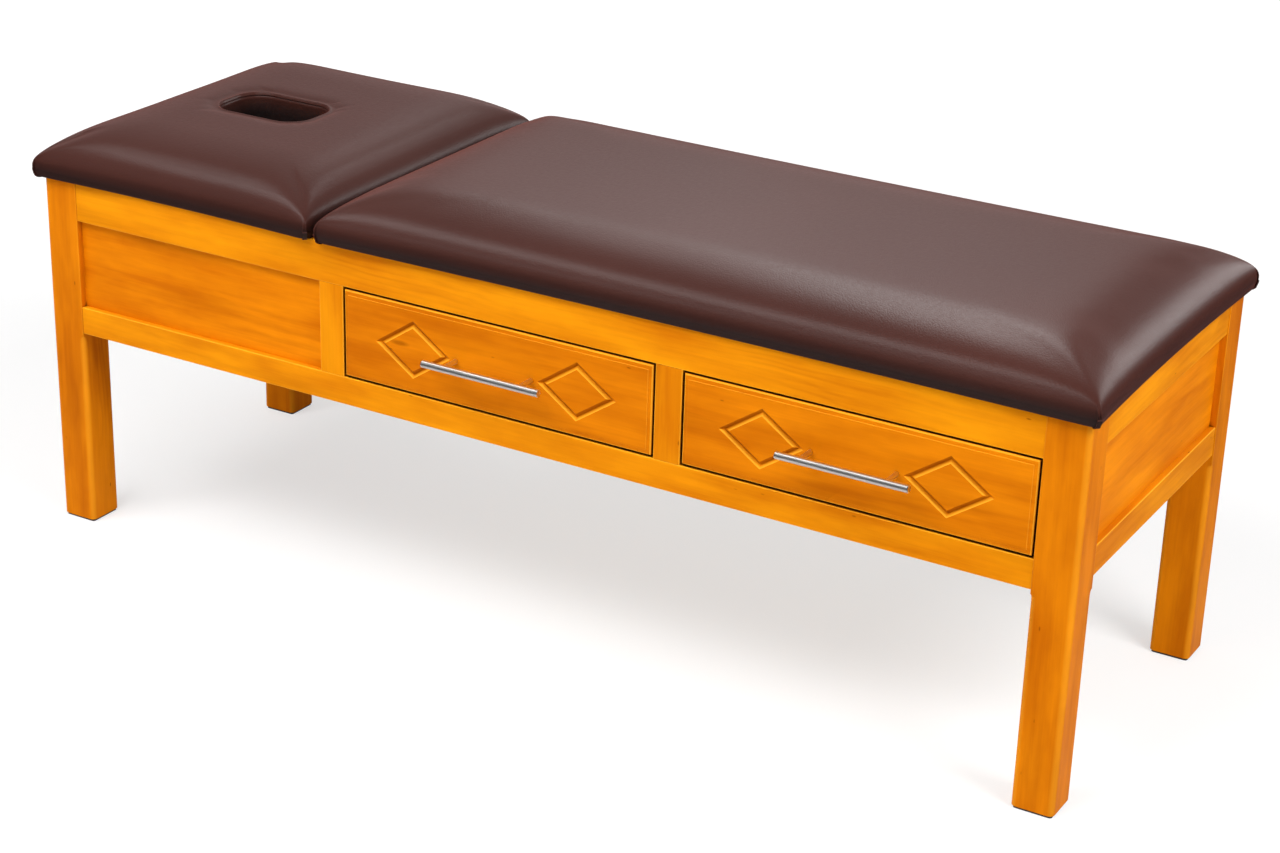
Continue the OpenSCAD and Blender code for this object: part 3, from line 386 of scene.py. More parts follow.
def gathered(parts):
    """Joins (points, faces) pairs into one pair of point array and face list."""
    points, faces, base = [], [], 0
    for p, f in parts:
        points.append(p)
        faces += [[k + base for k in face] for face in f]
        base += len(p)
    return np.concatenate(points), faces


def wooden(name, boards, node, material=stained, pith=0.11):
    """Boards given as (low, high, along, corners), as one piece that replaces a node. Its
    arrises get a pale colour, partly wear and partly a painted highlight, a leg's wide ones less."""
    parts = [board(*b) for b in boards]
    grain = np.concatenate([grain_of(p, b[2], pith) for (p, _), b in zip(parts, boards)])
    points, faces = gathered(parts)
    # Each arris's share of the pale colour: painted highlight and wear
    rubbed = (0.35 if boards[0][3] else 1.0) * np.resize([0, 0.3, 1, 1, 0.3, 0], len(points))
    piece = new_object(name, points, faces, material, grain=grain, rubbed=rubbed)
    settle(piece, "frame", node)


# %% [markdown]
# ## Legs, rails, stiles and panels
#
# The frame's boxes give the outer sizes. A rail's node also holds its tenons, so the rail's
# ends are taken from the legs. A leg is square where the rails meet it and rounded all
# round below them: its profile's radii change with height, as a stopped round-over does.

# %% Legs
LEG_ROUND = 8 * MM                  # radius of the round-over
STOP_BELOW, STOP = 6 * MM, 14 * MM  # where it ends under the front rail, and over what height
leg_boxes = {n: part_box(n) for n in sorted(frame["nodes"])
             if n.startswith("leg_") and "glides" not in n}
front_rail_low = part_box("front_bottom_rail")[0].z
inner_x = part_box("leg_front_right")[0].x
inner_front, inner_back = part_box("leg_front_right")[1].y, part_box("leg_back_right")[0].y


def leg_corners(low_z, sign_x, sign_y):
    """Radii of a leg's four corners by height: all round below, outer corner alone above,
    and a quarter circle between them."""
    outer = {(1, 1): 0, (-1, 1): 1, (-1, -1): 2, (1, -1): 3}[(sign_x, sign_y)]
    heights = (front_rail_low - low_z - STOP_BELOW
               - STOP * (1 - np.sqrt(np.linspace(0, 1, 6)))[::-1])

    def radii_at(place):
        share = np.clip((place - heights.min()) / np.ptp(heights), 0, 1)
        radii = np.full(4, LEG_ROUND * math.sqrt(1 - share ** 2) + ARRIS * share)
        radii[outer] = LEG_ROUND
        return np.maximum(radii, ARRIS)

    return heights, radii_at


for name, (low, high) in leg_boxes.items():
    corner_rule = leg_corners(low.z, np.sign(low.x), np.sign(low.y + high.y))
    wooden(name.replace("leg_", "turned_leg_"), [(low, high, Z, corner_rule)], name,
           material=stained_leg, pith=0.14)
print("legs:", len(leg_boxes))

# %% Rails and stiles
for side in ("front", "back", "head_end", "foot_end"):
    for level in ("top", "bottom"):
        low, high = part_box(f"{side}_{level}_rail")
        ends = (inner_front, inner_back) if "end" in side else (-inner_x, inner_x)
        along = Y if "end" in side else X
        low[along], high[along] = ends
        wooden(f"{side}_{level}_rail_board", [(low, high, along, None)], f"{side}_{level}_rail")

open_low, open_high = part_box("front_bottom_rail")[1].z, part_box("front_top_rail")[0].z
stile_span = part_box("front_stiles")
STILE = 45 * MM  # width of a stile
for side in ("front", "back"):
    low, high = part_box(f"{side}_stiles")
    edges = [(low.x, low.x + STILE), (high.x - STILE, high.x)]
    wooden(f"{side}_stile_boards",
           [((a, low.y, open_low), (b, high.y, open_high), Z, None) for a, b in edges],
           f"{side}_stiles")
print("rails: 8, stiles: 4, each", round(STILE / MM), "mm wide")

# %% Panels
GROOVE = 7 * MM  # how deep a panel sits in a stile or leg
bays = [(-inner_x, stile_span[0].x),
        (stile_span[0].x + STILE, stile_span[1].x - STILE),
        (stile_span[1].x, inner_x)]
for node, which in (("front_panel", bays[:1]), ("back_panels", bays),
                    ("head_end_panel", []), ("foot_end_panel", [])):
    low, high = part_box(node)
    boards = [((a - GROOVE, low.y, low.z), (b + GROOVE, high.y, high.z), X, None)
              for a, b in which]
    wooden(node + ("_boards" if which else "_board"), boards or [(low, high, Y, None)], node,
           material=stained_panel, pith=0.06)
print("panels in front, behind and at the ends:", 1, len(bays), 2)

# %% [markdown]
# ## Drawer fronts
#
# The front's edge is a moulding: a profile carried round a rectangle, with mitred corners.
# It rises along a quarter of an ellipse to a flat band and then steps up to the face. The
# two arrises draw the fine bright lines round the edge, and a painted highlight on them makes
# the lines brighter. Two diamonds are carved in the face. Each is a closed groove, a V
# carried round a diamond. Light from above leaves the wall that faces down dark and makes the
# arris that faces up bright, and the colour paints that shade and highlight in as well. What
# is left of the flat face is filled between those outlines.

# %% Moulding and diamonds
MOULDING = (8 * MM, 5 * MM, 1.0 * MM)  # width, depth and height of the step
ROUND_OVER = 3.2 * MM  # how far in from the edge the quarter ellipse reaches
DIAMOND = (148 * MM, 69 * MM, 47.5 * MM)  # place, half width, half height
INNER_SHARE, CARVED = 0.76, 4.2 * MM  # inner outline's share of the outer one, V's depth
# A diamond's corners, those at its sides cut off a little
POINTED = ((1, 0), (0.97, 0.03), (0, 1), (-0.97, 0.03),
           (-1, 0), (-0.97, -0.03), (0, -1), (0.97, -0.03))


def rectangle_ring(half_x, half_z, inset, height):
    """Four corners of a rectangle that is shrunk by inset and lies height in front."""
    x, z = half_x - inset, half_z - inset
    return [(x, height, z), (-x, height, z), (-x, height, -z), (x, height, -z)]


def moulding_profile(thick):
    """(inset, height) pairs from the back face round the moulded edge to the face."""
    width, depth, step = MOULDING
    turn = np.linspace(0, np.pi / 2, 9)
    inset = ROUND_OVER * (1 - np.cos(turn))
    height = thick - depth + (depth - 1.3 * step) * np.sin(turn)
    soft = 0.35 * MM
    back = [(3 * MM, 0), (0.8 * MM, 0), (0.24 * MM, 0.24 * MM), (0, 0.8 * MM),
            (0, thick - depth - MM)]
    front = [(ROUND_OVER + MM, thick - 1.25 * step), (width - 0.2 * MM, thick - step),
             (width, thick - soft), (width + soft * 0.3, thick - soft * 0.3),
             (width + soft, thick), (width + 3 * soft, thick)]
    return back + list(zip(inset, height)) + front


def diamond_profile(thick):
    """(share of the diamond's size, height) pairs from its outer to its inner outline."""
    middle, soft = (1 + INNER_SHARE) / 2, 0.011
    outer = [(1 + 2 * soft, thick), (1 + soft, thick), (1, thick - 0.08 * CARVED),
             (middle + soft, thick - CARVED)]
    return outer + [(2 * middle - share, height) for share, height in outer[::-1]]


board_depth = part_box("drawer_1_front")[1].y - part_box("drawer_1_front")[0].y
print("steps in the moulding and in a groove:", len(moulding_profile(board_depth)),
      len(diamond_profile(board_depth)))

# %% [markdown]
# The front could be cut from a block with booleans, but they leave long thin faces that
# shade badly. Here the outlines are carried through their profiles, which gives clean
# quads, and only the flat rest between three closed outlines is left to a triangle fill.

# %% Drawer front as one closed surface
WIDENED = 0.6 * MM  # what the gap round the front gains on each side


def drawer_front(node):
    """Points and faces of a drawer front: moulded edge, two grooves, and the face between."""
    low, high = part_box(node)
    thick = high.y - low.y
    half_x, half_z = (high.x - low.x) / 2 - WIDENED, (high.z - low.z) / 2 - WIDENED
    edge = [rectangle_ring(half_x, half_z, d, h) for d, h in moulding_profile(thick)]
    place, wide, tall = DIAMOND
    grooves = [[[(s * place + sx * wide * share, h, sz * tall * share)
                 for sx, sz in POINTED]
                for share, h in diamond_profile(thick)] for s in (-1, 1)]
    bm = bmesh.new()

    def carry(rings, close_first, close_last):
        """Makes the rings' points, the quads between them and the faces at the ends."""
        verts = [[bm.verts.new(p) for p in ring] for ring in rings]
        for a, b in zip(verts, verts[1:]):
            for k in range(len(a)):
                after = (k + 1) % len(a)
                bm.faces.new((a[k], a[after], b[after], b[k]))
        if close_first:
            bm.faces.new(verts[0][::-1])
        if close_last:
            bm.faces.new(verts[-1])
        return verts

    face_edge = carry(edge, True, False)[-1]
    outer = [carry(g, False, True)[0] for g in grooves]
    rims = [bm.edges.get((r[k - 1], r[k])) for r in (face_edge, *outer) for k in range(len(r))]
    bmesh.ops.triangle_fill(bm, use_beauty=True, use_dissolve=False, edges=rims)
    mesh = bpy.data.meshes.new("draft")
    bm.to_mesh(mesh)
    bm.free()
    points = points_of(mesh)
    points[:, Y] = high.y - points[:, Y]
    points += np.array([(low.x + high.x) / 2, 0, (low.z + high.z) / 2])
    return points, [list(f.vertices) for f in mesh.polygons]


# %% [markdown]
# Stain isn't even on carved work. The rag leaves more of it in a groove and takes it off
# every edge. The two shares worked out below hold that for each point of the front, and
# painted light as well: painted shade on the groove's wall that faces down, a painted
# highlight on the arrises that face up and on the moulding, and the darkest painted shade on
# the edges in the narrow gap round the drawer, as they never see light.

# %% Stain, painted shade and painted highlight on the carving, and both fronts
SKIN, FLANK = 0.05 * MM, 3.6 * MM  # depths at which the face ends and the sides begin


def carved_shares(points):
    """Painted shade on the groove's wall that faces down: 0.6 + 0.4 depth / CARVED. On the rest
    of the groove, stain pools: 0.5 depth / CARVED. The arris that faces up, the moulding's
    arris and the round-over get a painted highlight that also stands for wear, and the edges
    that face the gap get painted shade, nearly black."""
    depth = points[:, Y] - points[:, Y].min()
    away = points - (points.min(0) + points.max(0)) / 2
    inset = (np.ptp(points, axis=0) / 2 - abs(away))[:, [X, Z]].min(1)
    place, wide, tall = DIAMOND
    share = abs(abs(away[:, X]) - place) / wide + abs(away[:, Z]) / tall
    down = np.sign(share - (1 + INNER_SHARE) / 2) * np.sign(away[:, Z].round(4))
    carved = (depth > SKIN) & (share < 1.1)
    sunk = np.clip(depth / CARVED, 0, 1)
    # Painted shade on the wall that faces down; stain that pools elsewhere in the groove
    stain_and_shade = carved * np.where(down > 0, 0.6 + 0.4 * sunk, 0.5 * sunk)
    # Painted shade, nearly black, on the edges that face the gap
    stain_and_shade = np.where((inset < 0.3 * MM) & (depth > FLANK), 1.6, stain_and_shade)
    # Painted highlight, with wear: on the arrises that face up, the moulding's arris and the
    # round-over
    arris = (depth > SKIN) & (depth < 0.5 * MM) & ~(carved & (down >= 0))
    rolled = (inset > 0.15 * ROUND_OVER) & (inset < 0.8 * ROUND_OVER) & (depth < FLANK)
    return {"stain_and_shade": stain_and_shade, "rubbed": np.maximum(arris, 0.8 * rolled)}


for drawer in ("drawer_1", "drawer_2"):
    points, faces = drawer_front(f"{drawer}_front")
    front = new_object(f"{drawer}_carved_front", points, faces, stained_front, sharp=22,
                       grain=grain_of(points, X, 0.07), **carved_shares(points))
    settle(front, drawer, f"{drawer}_front")
print("drawer fronts:", len(points), "points each")

# %% [markdown]
# ## Handles
#
# Each handle is a brushed bar with chamfered ends on two posts. Both are turned parts: a
# radius that changes along an axis. Brushing leaves fine scratches along the bar, so the
# finish is steel whose roughness and relief come from noise stretched along X.

# %% Handle finish and bars
def brushed_steel(name, stretch, base=(0.90, 0.88, 0.86), rough=0.27):
    """Steel with scratches: noise squeezed across them and stretched along them."""
    f = Finish(name)
    scratch = f.noise(f.scaled(f.place(), stretch), detail=4.0, rough=0.7)
    f.put(f.shader, Roughness=f.spread(scratch, 0.3, 0.7, rough, rough + 0.16),
          Base_Color=f.blend(scratch, rgba(*base), rgba(*[0.82 * c for c in base])),
          Metallic=1.0)
    f.bump(scratch, 0.00004, 0.35)
    return f.material


def turned(axis, centre, profile, around=40):
    """A radius along an axis, carried round it. profile is (distance, radius) pairs."""
    turn = np.linspace(0, 2 * np.pi, around, endpoint=False)
    a, b = [k for k in (X, Y, Z) if k != axis]
    rings = np.empty((len(profile), around, 3))
    for ring, (distance, radius) in zip(rings, profile):
        ring[:, axis] = distance
        ring[:, a] = radius * np.cos(turn)
        ring[:, b] = radius * np.sin(turn)
    return (rings + np.array(centre)).reshape(-1, 3), tube_faces(len(profile), around)


handle_steel = brushed_steel("brushed_handle", (14.0, 2200.0, 2200.0))
for drawer in ("drawer_1", "drawer_2"):
    low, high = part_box(f"{drawer}_handle_bar")
    radius, half = (high.z - low.z) / 2, (high.x - low.x) / 2
    cut = 0.9 * MM  # chamfer at the bar's ends
    ends = [(half, radius - cut - HOLD), (half, radius - cut),
            (half - cut * 0.35, radius - cut * 0.3), (half - cut, radius),
            (half - cut - HOLD, radius)]
    bar = turned(X, (low + high) / 2, [(-d, r) for d, r in ends] + ends[::-1])
    settle(new_object(f"{drawer}_bar", *bar, handle_steel), drawer,
           f"{drawer}_handle_bar")
    p_low, p_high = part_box(f"{drawer}_handle_posts")
    r = (p_high.z - p_low.z) / 2
    length = p_high.y - (low.y + high.y) / 2
    posts = [turned(Y, (x, p_high.y, (p_low.z + p_high.z) / 2),
                    [(0, r - 0.4 * MM), (-0.4 * MM, r), (-length, r)], 28)
             for x in (p_low.x + r, p_high.x - r)]
    settle(new_object(f"{drawer}_posts", *gathered(posts), handle_steel), drawer,
           f"{drawer}_handle_posts")
print("handles: bars of radius", round(radius / MM, 1), "mm")

# %% [markdown]
# ## The pads' cover
#
# The cover is coated cloth that imitates brown leather: dark, with a satin sheen. Its grain
# is a net of small cells, which Voronoi noise gives, over softer creases. The cells are two
# to three millimetres wide, so they show as a fine sparkle where the light is mirrored. Shade
# is painted into the colour: a hollow is darkened where little light gets in, and so is the
# side where it turns under. An attribute named inside paints shade on the face hole's
# sleeve, nearly black from just below its rim down.

# %% Cover finish
def cover_finish():
    """Cells from Voronoi noise, creases from finer noise, and a slow change of tone. Painted
    shade = the most of hollowness, turning under and inside; it darkens the colour and dulls the
    cover."""
    f = Finish("brown_cover")
    place = f.place()
    cells = f.add("TexVoronoi", {"feature": "SMOOTH_F1"}, Vector=place, Scale=430.0,
                  Smoothness=0.35).outputs["Distance"]
    crease = f.noise(place, 130.0, 4.0, 0.6)
    height = f.math("MULTIPLY_ADD", crease, 0.5, f.math("MULTIPLY", cells, -0.6))
    colour = f.blend(f.spread(f.noise(place, 2.3, 2.0), 0.3, 0.7),
                     rgba(0.040, 0.0118, 0.0085), rgba(0.050, 0.0150, 0.0108))
    # Painted shade in hollows, found by Ambient Occlusion
    open_share = f.add("AmbientOcclusion", {"samples": 8}, Distance=0.15).outputs["AO"]
    faces_up = f.add("SeparateXYZ", Vector=f.add("NewGeometry").outputs["Normal"]).outputs["Z"]
    # Painted shade where the side faces down and turns under, and down the face hole's sleeve
    under = f.math("MAXIMUM", f.spread(faces_up, -0.1, 0.3, 0.7, 0.0), f.stored("inside"))
    shade = f.math("MAXIMUM", f.spread(open_share, 0.15, 0.72, 0.9, 0.0), under)
    rough = f.math("MAXIMUM", f.spread(crease, 0.3, 0.7, 0.28, 0.35),
                   f.math("MULTIPLY", shade, 0.9))
    # Painted shade: the colour goes to near black where the shade share is high
    f.put(f.shader, Base_Color=f.blend(shade, colour, rgba(0.003, 0.0015, 0.0015)),
          Roughness=rough, IOR=1.42, Sheen_Weight=0.15, Sheen_Roughness=0.4,
          Sheen_Tint=rgba(1.0, 0.24, 0.17))
    f.bump(height, 0.0005, 0.5)
    return f.material


cover = cover_finish()
print("cover finish:", cover.name)

# %% [markdown]
# ## The pads' shape
#
# A pad is foam on a board, drawn down by its cover. Its outline pulls in between the
# corners, so the corners look pointed. The side tucks in under the widest line, which lies
# low. Above that line the crown rises along a quarter of a superellipse, in both directions
# at once. Where the two rises meet near a corner, the lower one wins, softly. That draws
# the ridge which runs up from every corner and fades in the crown.
#
# The formula is written for one point and used on whole arrays. So each pad can be laid out
# in the way that suits it: the body pad as a grid, the head pad as rings round its hole.

# %% Pad formulas
WALL, CROWN = 16 * MM, 66 * MM  # height of the side, and of the crown above it
ROLL, POWER = 160 * MM, 2.4     # width of the rolled edge, and its superellipse's power
DRAWN, TUCK, SOFT = 7 * MM, 9 * MM, 9 * MM  # how far sides pull in, tuck in, corners round
ROLL_STEPS = 20  # steps over the rolled edge
CORNER_SHARE = 0.29  # 1 - cos 45 degrees, of SOFT: how far a corner moves in
UNDER = 10       # rings below the widest line: eight down the side and two under the board


def rise(distance):
    """Share of the crown reached at a distance from the edge: a quarter superellipse."""
    t = np.clip(1 - distance / ROLL, 0, 1)
    return (1 - t ** POWER) ** (1 / POWER)


def joined(a, b):
    """Soft lower value of two rises: a b / sqrt(a^2 + b^2 - a^2 b^2)."""
    both = a * b
    return both / np.sqrt(np.maximum(a * a + b * b - both * both, TINY))


def crown_height(x, y, half_x, half_y):
    """Height of the cover above the pad's foot: WALL + CROWN times both rises, joined."""
    return WALL + CROWN * joined(rise(half_x - abs(x)), rise(half_y - abs(y)))


def drawn_outline(x, y, half_x, half_y, at_low_x, at_high_x):
    """Moves points inwards: most half way along each side, and a little at the corners,
    which rounds them. The corner's part is CORNER_SHARE SOFT exp(-distance / SOFT)."""
    amount_x = np.where(x < 0, at_low_x, at_high_x) * (1 - (y / half_y) ** 2)
    amount_y = DRAWN * (1 - (x / half_x) ** 2)
    corner = CORNER_SHARE * SOFT * np.exp(-(half_x - abs(x) + half_y - abs(y)) / SOFT)
    return (x * (1 - amount_x / half_x) - np.sign(x) * corner,
            y * (1 - amount_y / half_y) - np.sign(y) * corner)


def edge_places():
    """Distances from the edge at which the rising surface turns by equal steps."""
    return ROLL * (1 - np.cos(np.linspace(0, np.pi / 2, ROLL_STEPS + 1)) ** (2 / POWER))


def stations(half, step=12 * MM):
    """Places from one edge to the other, close together where the surface turns down."""
    edge = edge_places() - half
    flat = np.linspace(edge[-1], -edge[-1], max(2, int(2 * abs(edge[-1]) / step) + 1))
    return np.r_[edge, flat[1:-1], -edge[::-1]]


def side_rings(rim):
    """Rings below the widest line: the cover goes down and tucks in along a quarter arc,
    then lies flat under the board's edge."""
    out = []
    for t in np.linspace(0, np.pi / 2, UNDER - 1)[1:]:
        ring = rim.copy()
        ring[:, :2] *= 1 - TUCK * (1 - math.cos(t)) / np.abs(rim[:, :2]).max(0)
        ring[:, 2] = WALL * (1 - math.sin(t))
        out.append(ring)
    for under in (2 * MM, 30 * MM):
        ring = out[UNDER - 3].copy()
        ring[:, :2] *= 1 - under / np.abs(rim[:, :2]).max(0)
        out.append(ring)
    return np.array(out)


def pad_frame(node):
    """Middle of a pad's foot, and its half sizes."""
    low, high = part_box(node)
    return (np.array([(low.x + high.x) / 2, (low.y + high.y) / 2, low.z]),
            (high.x - low.x) / 2, (high.y - low.y) / 2)


for node in ("body_pad", "head_pad"):
    print(node, "is", [round(2 * half, 3) for half in pad_frame(node)[1:]], "m long and wide")

# %% [markdown]
# A formula gives a shape that is too even. So the cover is filled as a real one is: it is
# held along the board, and pressure from inside swells it against its own stiffness for
# twenty frames. The swelling is limited, so that the pad keeps its place in the frame, and
# it may not grow across the split. One subdivision then smooths the result.

# %% Filling a cover
CAP = 2.5 * MM  # the most that a point may swell
FRAMES = 20     # simulated frames
CLOTH = {"vertex_group_mass": "held", "quality": 5, "mass": 0.4, "tension_stiffness": 18,
         "compression_stiffness": 18, "shear_stiffness": 8, "bending_stiffness": 6,
         "use_pressure": True, "uniform_pressure_force": 4}


def filled(thing, held, split_side):
    """Cloth under pressure, with held points fixed. Moves are shortened to
    CAP tanh(length / CAP), and none crosses the pad's plane at the split."""
    mesh = thing.data
    start = points_of(mesh)
    group = thing.vertex_groups.new(name="held")
    group.add(np.flatnonzero(held).tolist(), 1.0, "REPLACE")
    cloth = thing.modifiers.new("cloth", "CLOTH")
    for key, value in CLOTH.items():
        setattr(cloth.settings, key, value)
    cloth.settings.effector_weights.gravity = 0
    cloth.collision_settings.use_collision = False
    cloth.collision_settings.use_self_collision = False
    cloth.point_cache.frame_start, cloth.point_cache.frame_end = 1, FRAMES
    for number in range(1, FRAMES + 1):
        scene.frame_set(number)
    swollen = thing.evaluated_get(bpy.context.evaluated_depsgraph_get())
    move = points_of(swollen.to_mesh()) - start
    swollen.to_mesh_clear()
    length = lengths(move)
    move *= CAP * np.tanh(length / CAP) / np.maximum(length, 1e-9)
    at_split = split_side * (start[:, X] - start[:, X].mean()) > 0
    limit = (split_side * start[:, X]).max()
    end = start + move
    end[at_split, X] = split_side * np.minimum(split_side * end[at_split, X], limit)
    mesh.vertices.foreach_set("co", end.ravel())
    thing.modifiers.remove(cloth)
    thing.vertex_groups.remove(group)
    scene.frame_set(1)
    print(thing.name, "swelled by", (lengths(move).max() / MM).round(1), "mm at most")
    smooth = thing.modifiers.new("smooth", "SUBSURF")
    smooth.levels = smooth.render_levels = 1
    return points_of(mesh)


# %% Body pad
RIDGE = 9         # points of a seam above the widest line
FOOT = 4 * MM     # below this height the cover is held on the board


def body_surface(half_x, half_y):
    """Top as a grid of stations in X and Y, then rings down the side and under the pad.
    Also gives, for each corner, the points of its ridge from the underside up."""
    gx, gy = np.meshgrid(stations(half_x), stations(half_y), indexing="ij")
    px, py = drawn_outline(gx, gy, half_x, half_y, 0, DRAWN)
    points = np.stack([px, py, crown_height(gx, gy, half_x, half_y)], -1).reshape(-1, 3)
    nx, ny = gx.shape
    i, j = np.meshgrid(np.arange(nx - 1), np.arange(ny - 1), indexing="ij")
    a = i * ny + j
    faces = quads(a, a + ny, a + ny + 1, a + 1)
    index = np.arange(nx * ny).reshape(nx, ny)
    rim = np.r_[index[:, 0], index[-1, 1:], index[-2::-1, -1], index[0, -2:0:-1]]
    rings = side_rings(points[rim])
    numbers = np.concatenate(
        [rim[None], nx * ny + np.arange(UNDER * len(rim)).reshape(-1, len(rim))])
    after = np.roll(numbers, -1, 1)
    faces += quads(numbers[:-1], after[:-1], after[1:], numbers[1:])
    under = np.empty((nx, ny), int)
    under.ravel()[rim] = numbers[-1]
    fresh = np.arange((nx - 2) * (ny - 2)).reshape(nx - 2, ny - 2)
    under[1:-1, 1:-1] = numbers.max() + 1 + fresh
    faces += quads(under[:-1, :-1], under[:-1, 1:], under[1:, 1:], under[1:, :-1])
    shrunk = points.reshape(nx, ny, 3)[1:-1, 1:-1].reshape(-1, 3).copy()
    shrunk[:, :2] *= np.abs(rings[-1, :, :2]).max(0) / np.abs(points[:, :2]).max(0)
    shrunk[:, 2] = 0
    ridges = []
    for corner in (index, index[::-1], index[:, ::-1], index[::-1, ::-1]):
        column = int(np.flatnonzero(rim == corner[0, 0])[0])
        ridges.append(np.r_[numbers[1:-1, column][::-1], np.diagonal(corner)[:RIDGE]])
    return np.concatenate([points, rings.reshape(-1, 3), shrunk]), faces, ridges


middle, half_x, half_y = pad_frame("body_pad")
points, faces, body_ridges = body_surface(half_x, half_y)
body_pad = new_object("body_cushion", points + middle, faces, cover, sharp=180, merge=False)
body_points = filled(body_pad, points[:, Z] < FOOT, -1)
settle(body_pad, "frame", "body_pad")
print("body cushion:", len(points), "points")

# %% [markdown]
# The head pad has a hole for the face. Its cover dips a little towards the hole and is sewn
# there to a sleeve, which goes down through foam and board. The seam allowance lies under
# the cover and makes a thin firm lip, with the stitch line as a fine groove just below it.
# So this surface is a stack of closed rings: up the sleeve, over the lip, out to the edge,
# down the side and back under the pad.

# %% Face hole
FACE_HOLE_X = -0.686                          # the hole's middle along the bed
HOLE = (183 * MM / 2, 122 * MM / 2, 44 * MM)  # half length, half width, corner radius
DIP_WIDTH, DIP = 45 * MM, 1.5 * MM            # the cover's dip towards the hole
LIP, LIP_AT, LIP_WIDTH = 1.6 * MM, 3 * MM, 2.2 * MM  # the firm lip: height, place, half width
RIM, RIM_WIDTH = 2.2 * MM, 2.4 * MM           # how the rim turns down into the sleeve
STITCHED = 12 * MM                            # width round the hole that doesn't swell
# The sleeve from its rim down, in mm: depth, and how far in it lies. The stitch line is the
# groove about 2.5 mm down.
SLEEVE = ((0.8, 0.25), (1.4, 0.1), (2.0, -0.9), (2.5, -1.3), (3.1, -0.7), (4.2, 0.4),
          (7.0, 0.9), (16.0, 1.0), (32.0, 0.6), (50.0, 0.2), (66.0, 0.0))
DARK_FROM, DARK_OVER = 3, 18  # mm down the sleeve at which its painted shade starts, and over how many it deepens


def rectangle_path(xs, ys):
    """Points round a rectangle, counter-clockwise from the low corner of its +X side."""
    plus_x = np.stack([np.full(len(ys) - 1, xs[-1]), ys[:-1]], -1)
    plus_y = np.stack([xs[:0:-1], np.full(len(xs) - 1, ys[-1])], -1)
    return np.concatenate([plus_x, plus_y, -plus_x, -plus_y])


def hole_distance(x, y):
    """Distance from the hole's round-cornered outline, below zero inside it: how far a
    point lies beyond the corner's centre in X and Y, as one length, less the radius."""
    a, b, r = HOLE
    qx, qy = abs(x) - a + r, abs(y) - b + r
    return np.hypot(np.maximum(qx, 0), np.maximum(qy, 0)) + np.minimum(np.maximum(qx, qy), 0) - r


def hole_path(path, centre):
    """Where rays from the hole's middle to the outer path cross the hole's outline, found
    by halving the ray again and again."""
    ray = path - centre
    near, far = np.zeros(len(path)), np.ones(len(path))
    for _ in range(40):
        mid = (near + far) / 2
        inside = hole_distance(*(ray * mid[:, None]).T) < 0
        near, far = np.where(inside, mid, near), np.where(inside, far, mid)
    return centre + ray * near[:, None]


print("face hole:", [round(2 * side, 3) for side in HOLE[:2]], "m long and wide")

# %% [markdown]
# A hole could be cut in a finished grid, but its edge would then be ragged. Rays from the
# hole's middle to the pad's outline do better. Rows of points lie across the rays: close
# together at the lip and at the rolled edge, wide apart where the cover is calm.

# %% Head pad
LIP_ROWS = np.array([0, 0.7, 1.4, 2.3, 3.4, 5.0, 7.5, 11.0]) * MM  # rows round the hole
CLOSE_RAYS = np.array([0, 0.8, 2.2, 4.5, 8, 13, 20]) * MM  # rays near a corner of the pad
NEXT_RAY = 29 * MM  # where the even rays start
ROLLED, BETWEEN = 30 * MM, 26  # width of the edge's own rows, and rows from there to the hole's


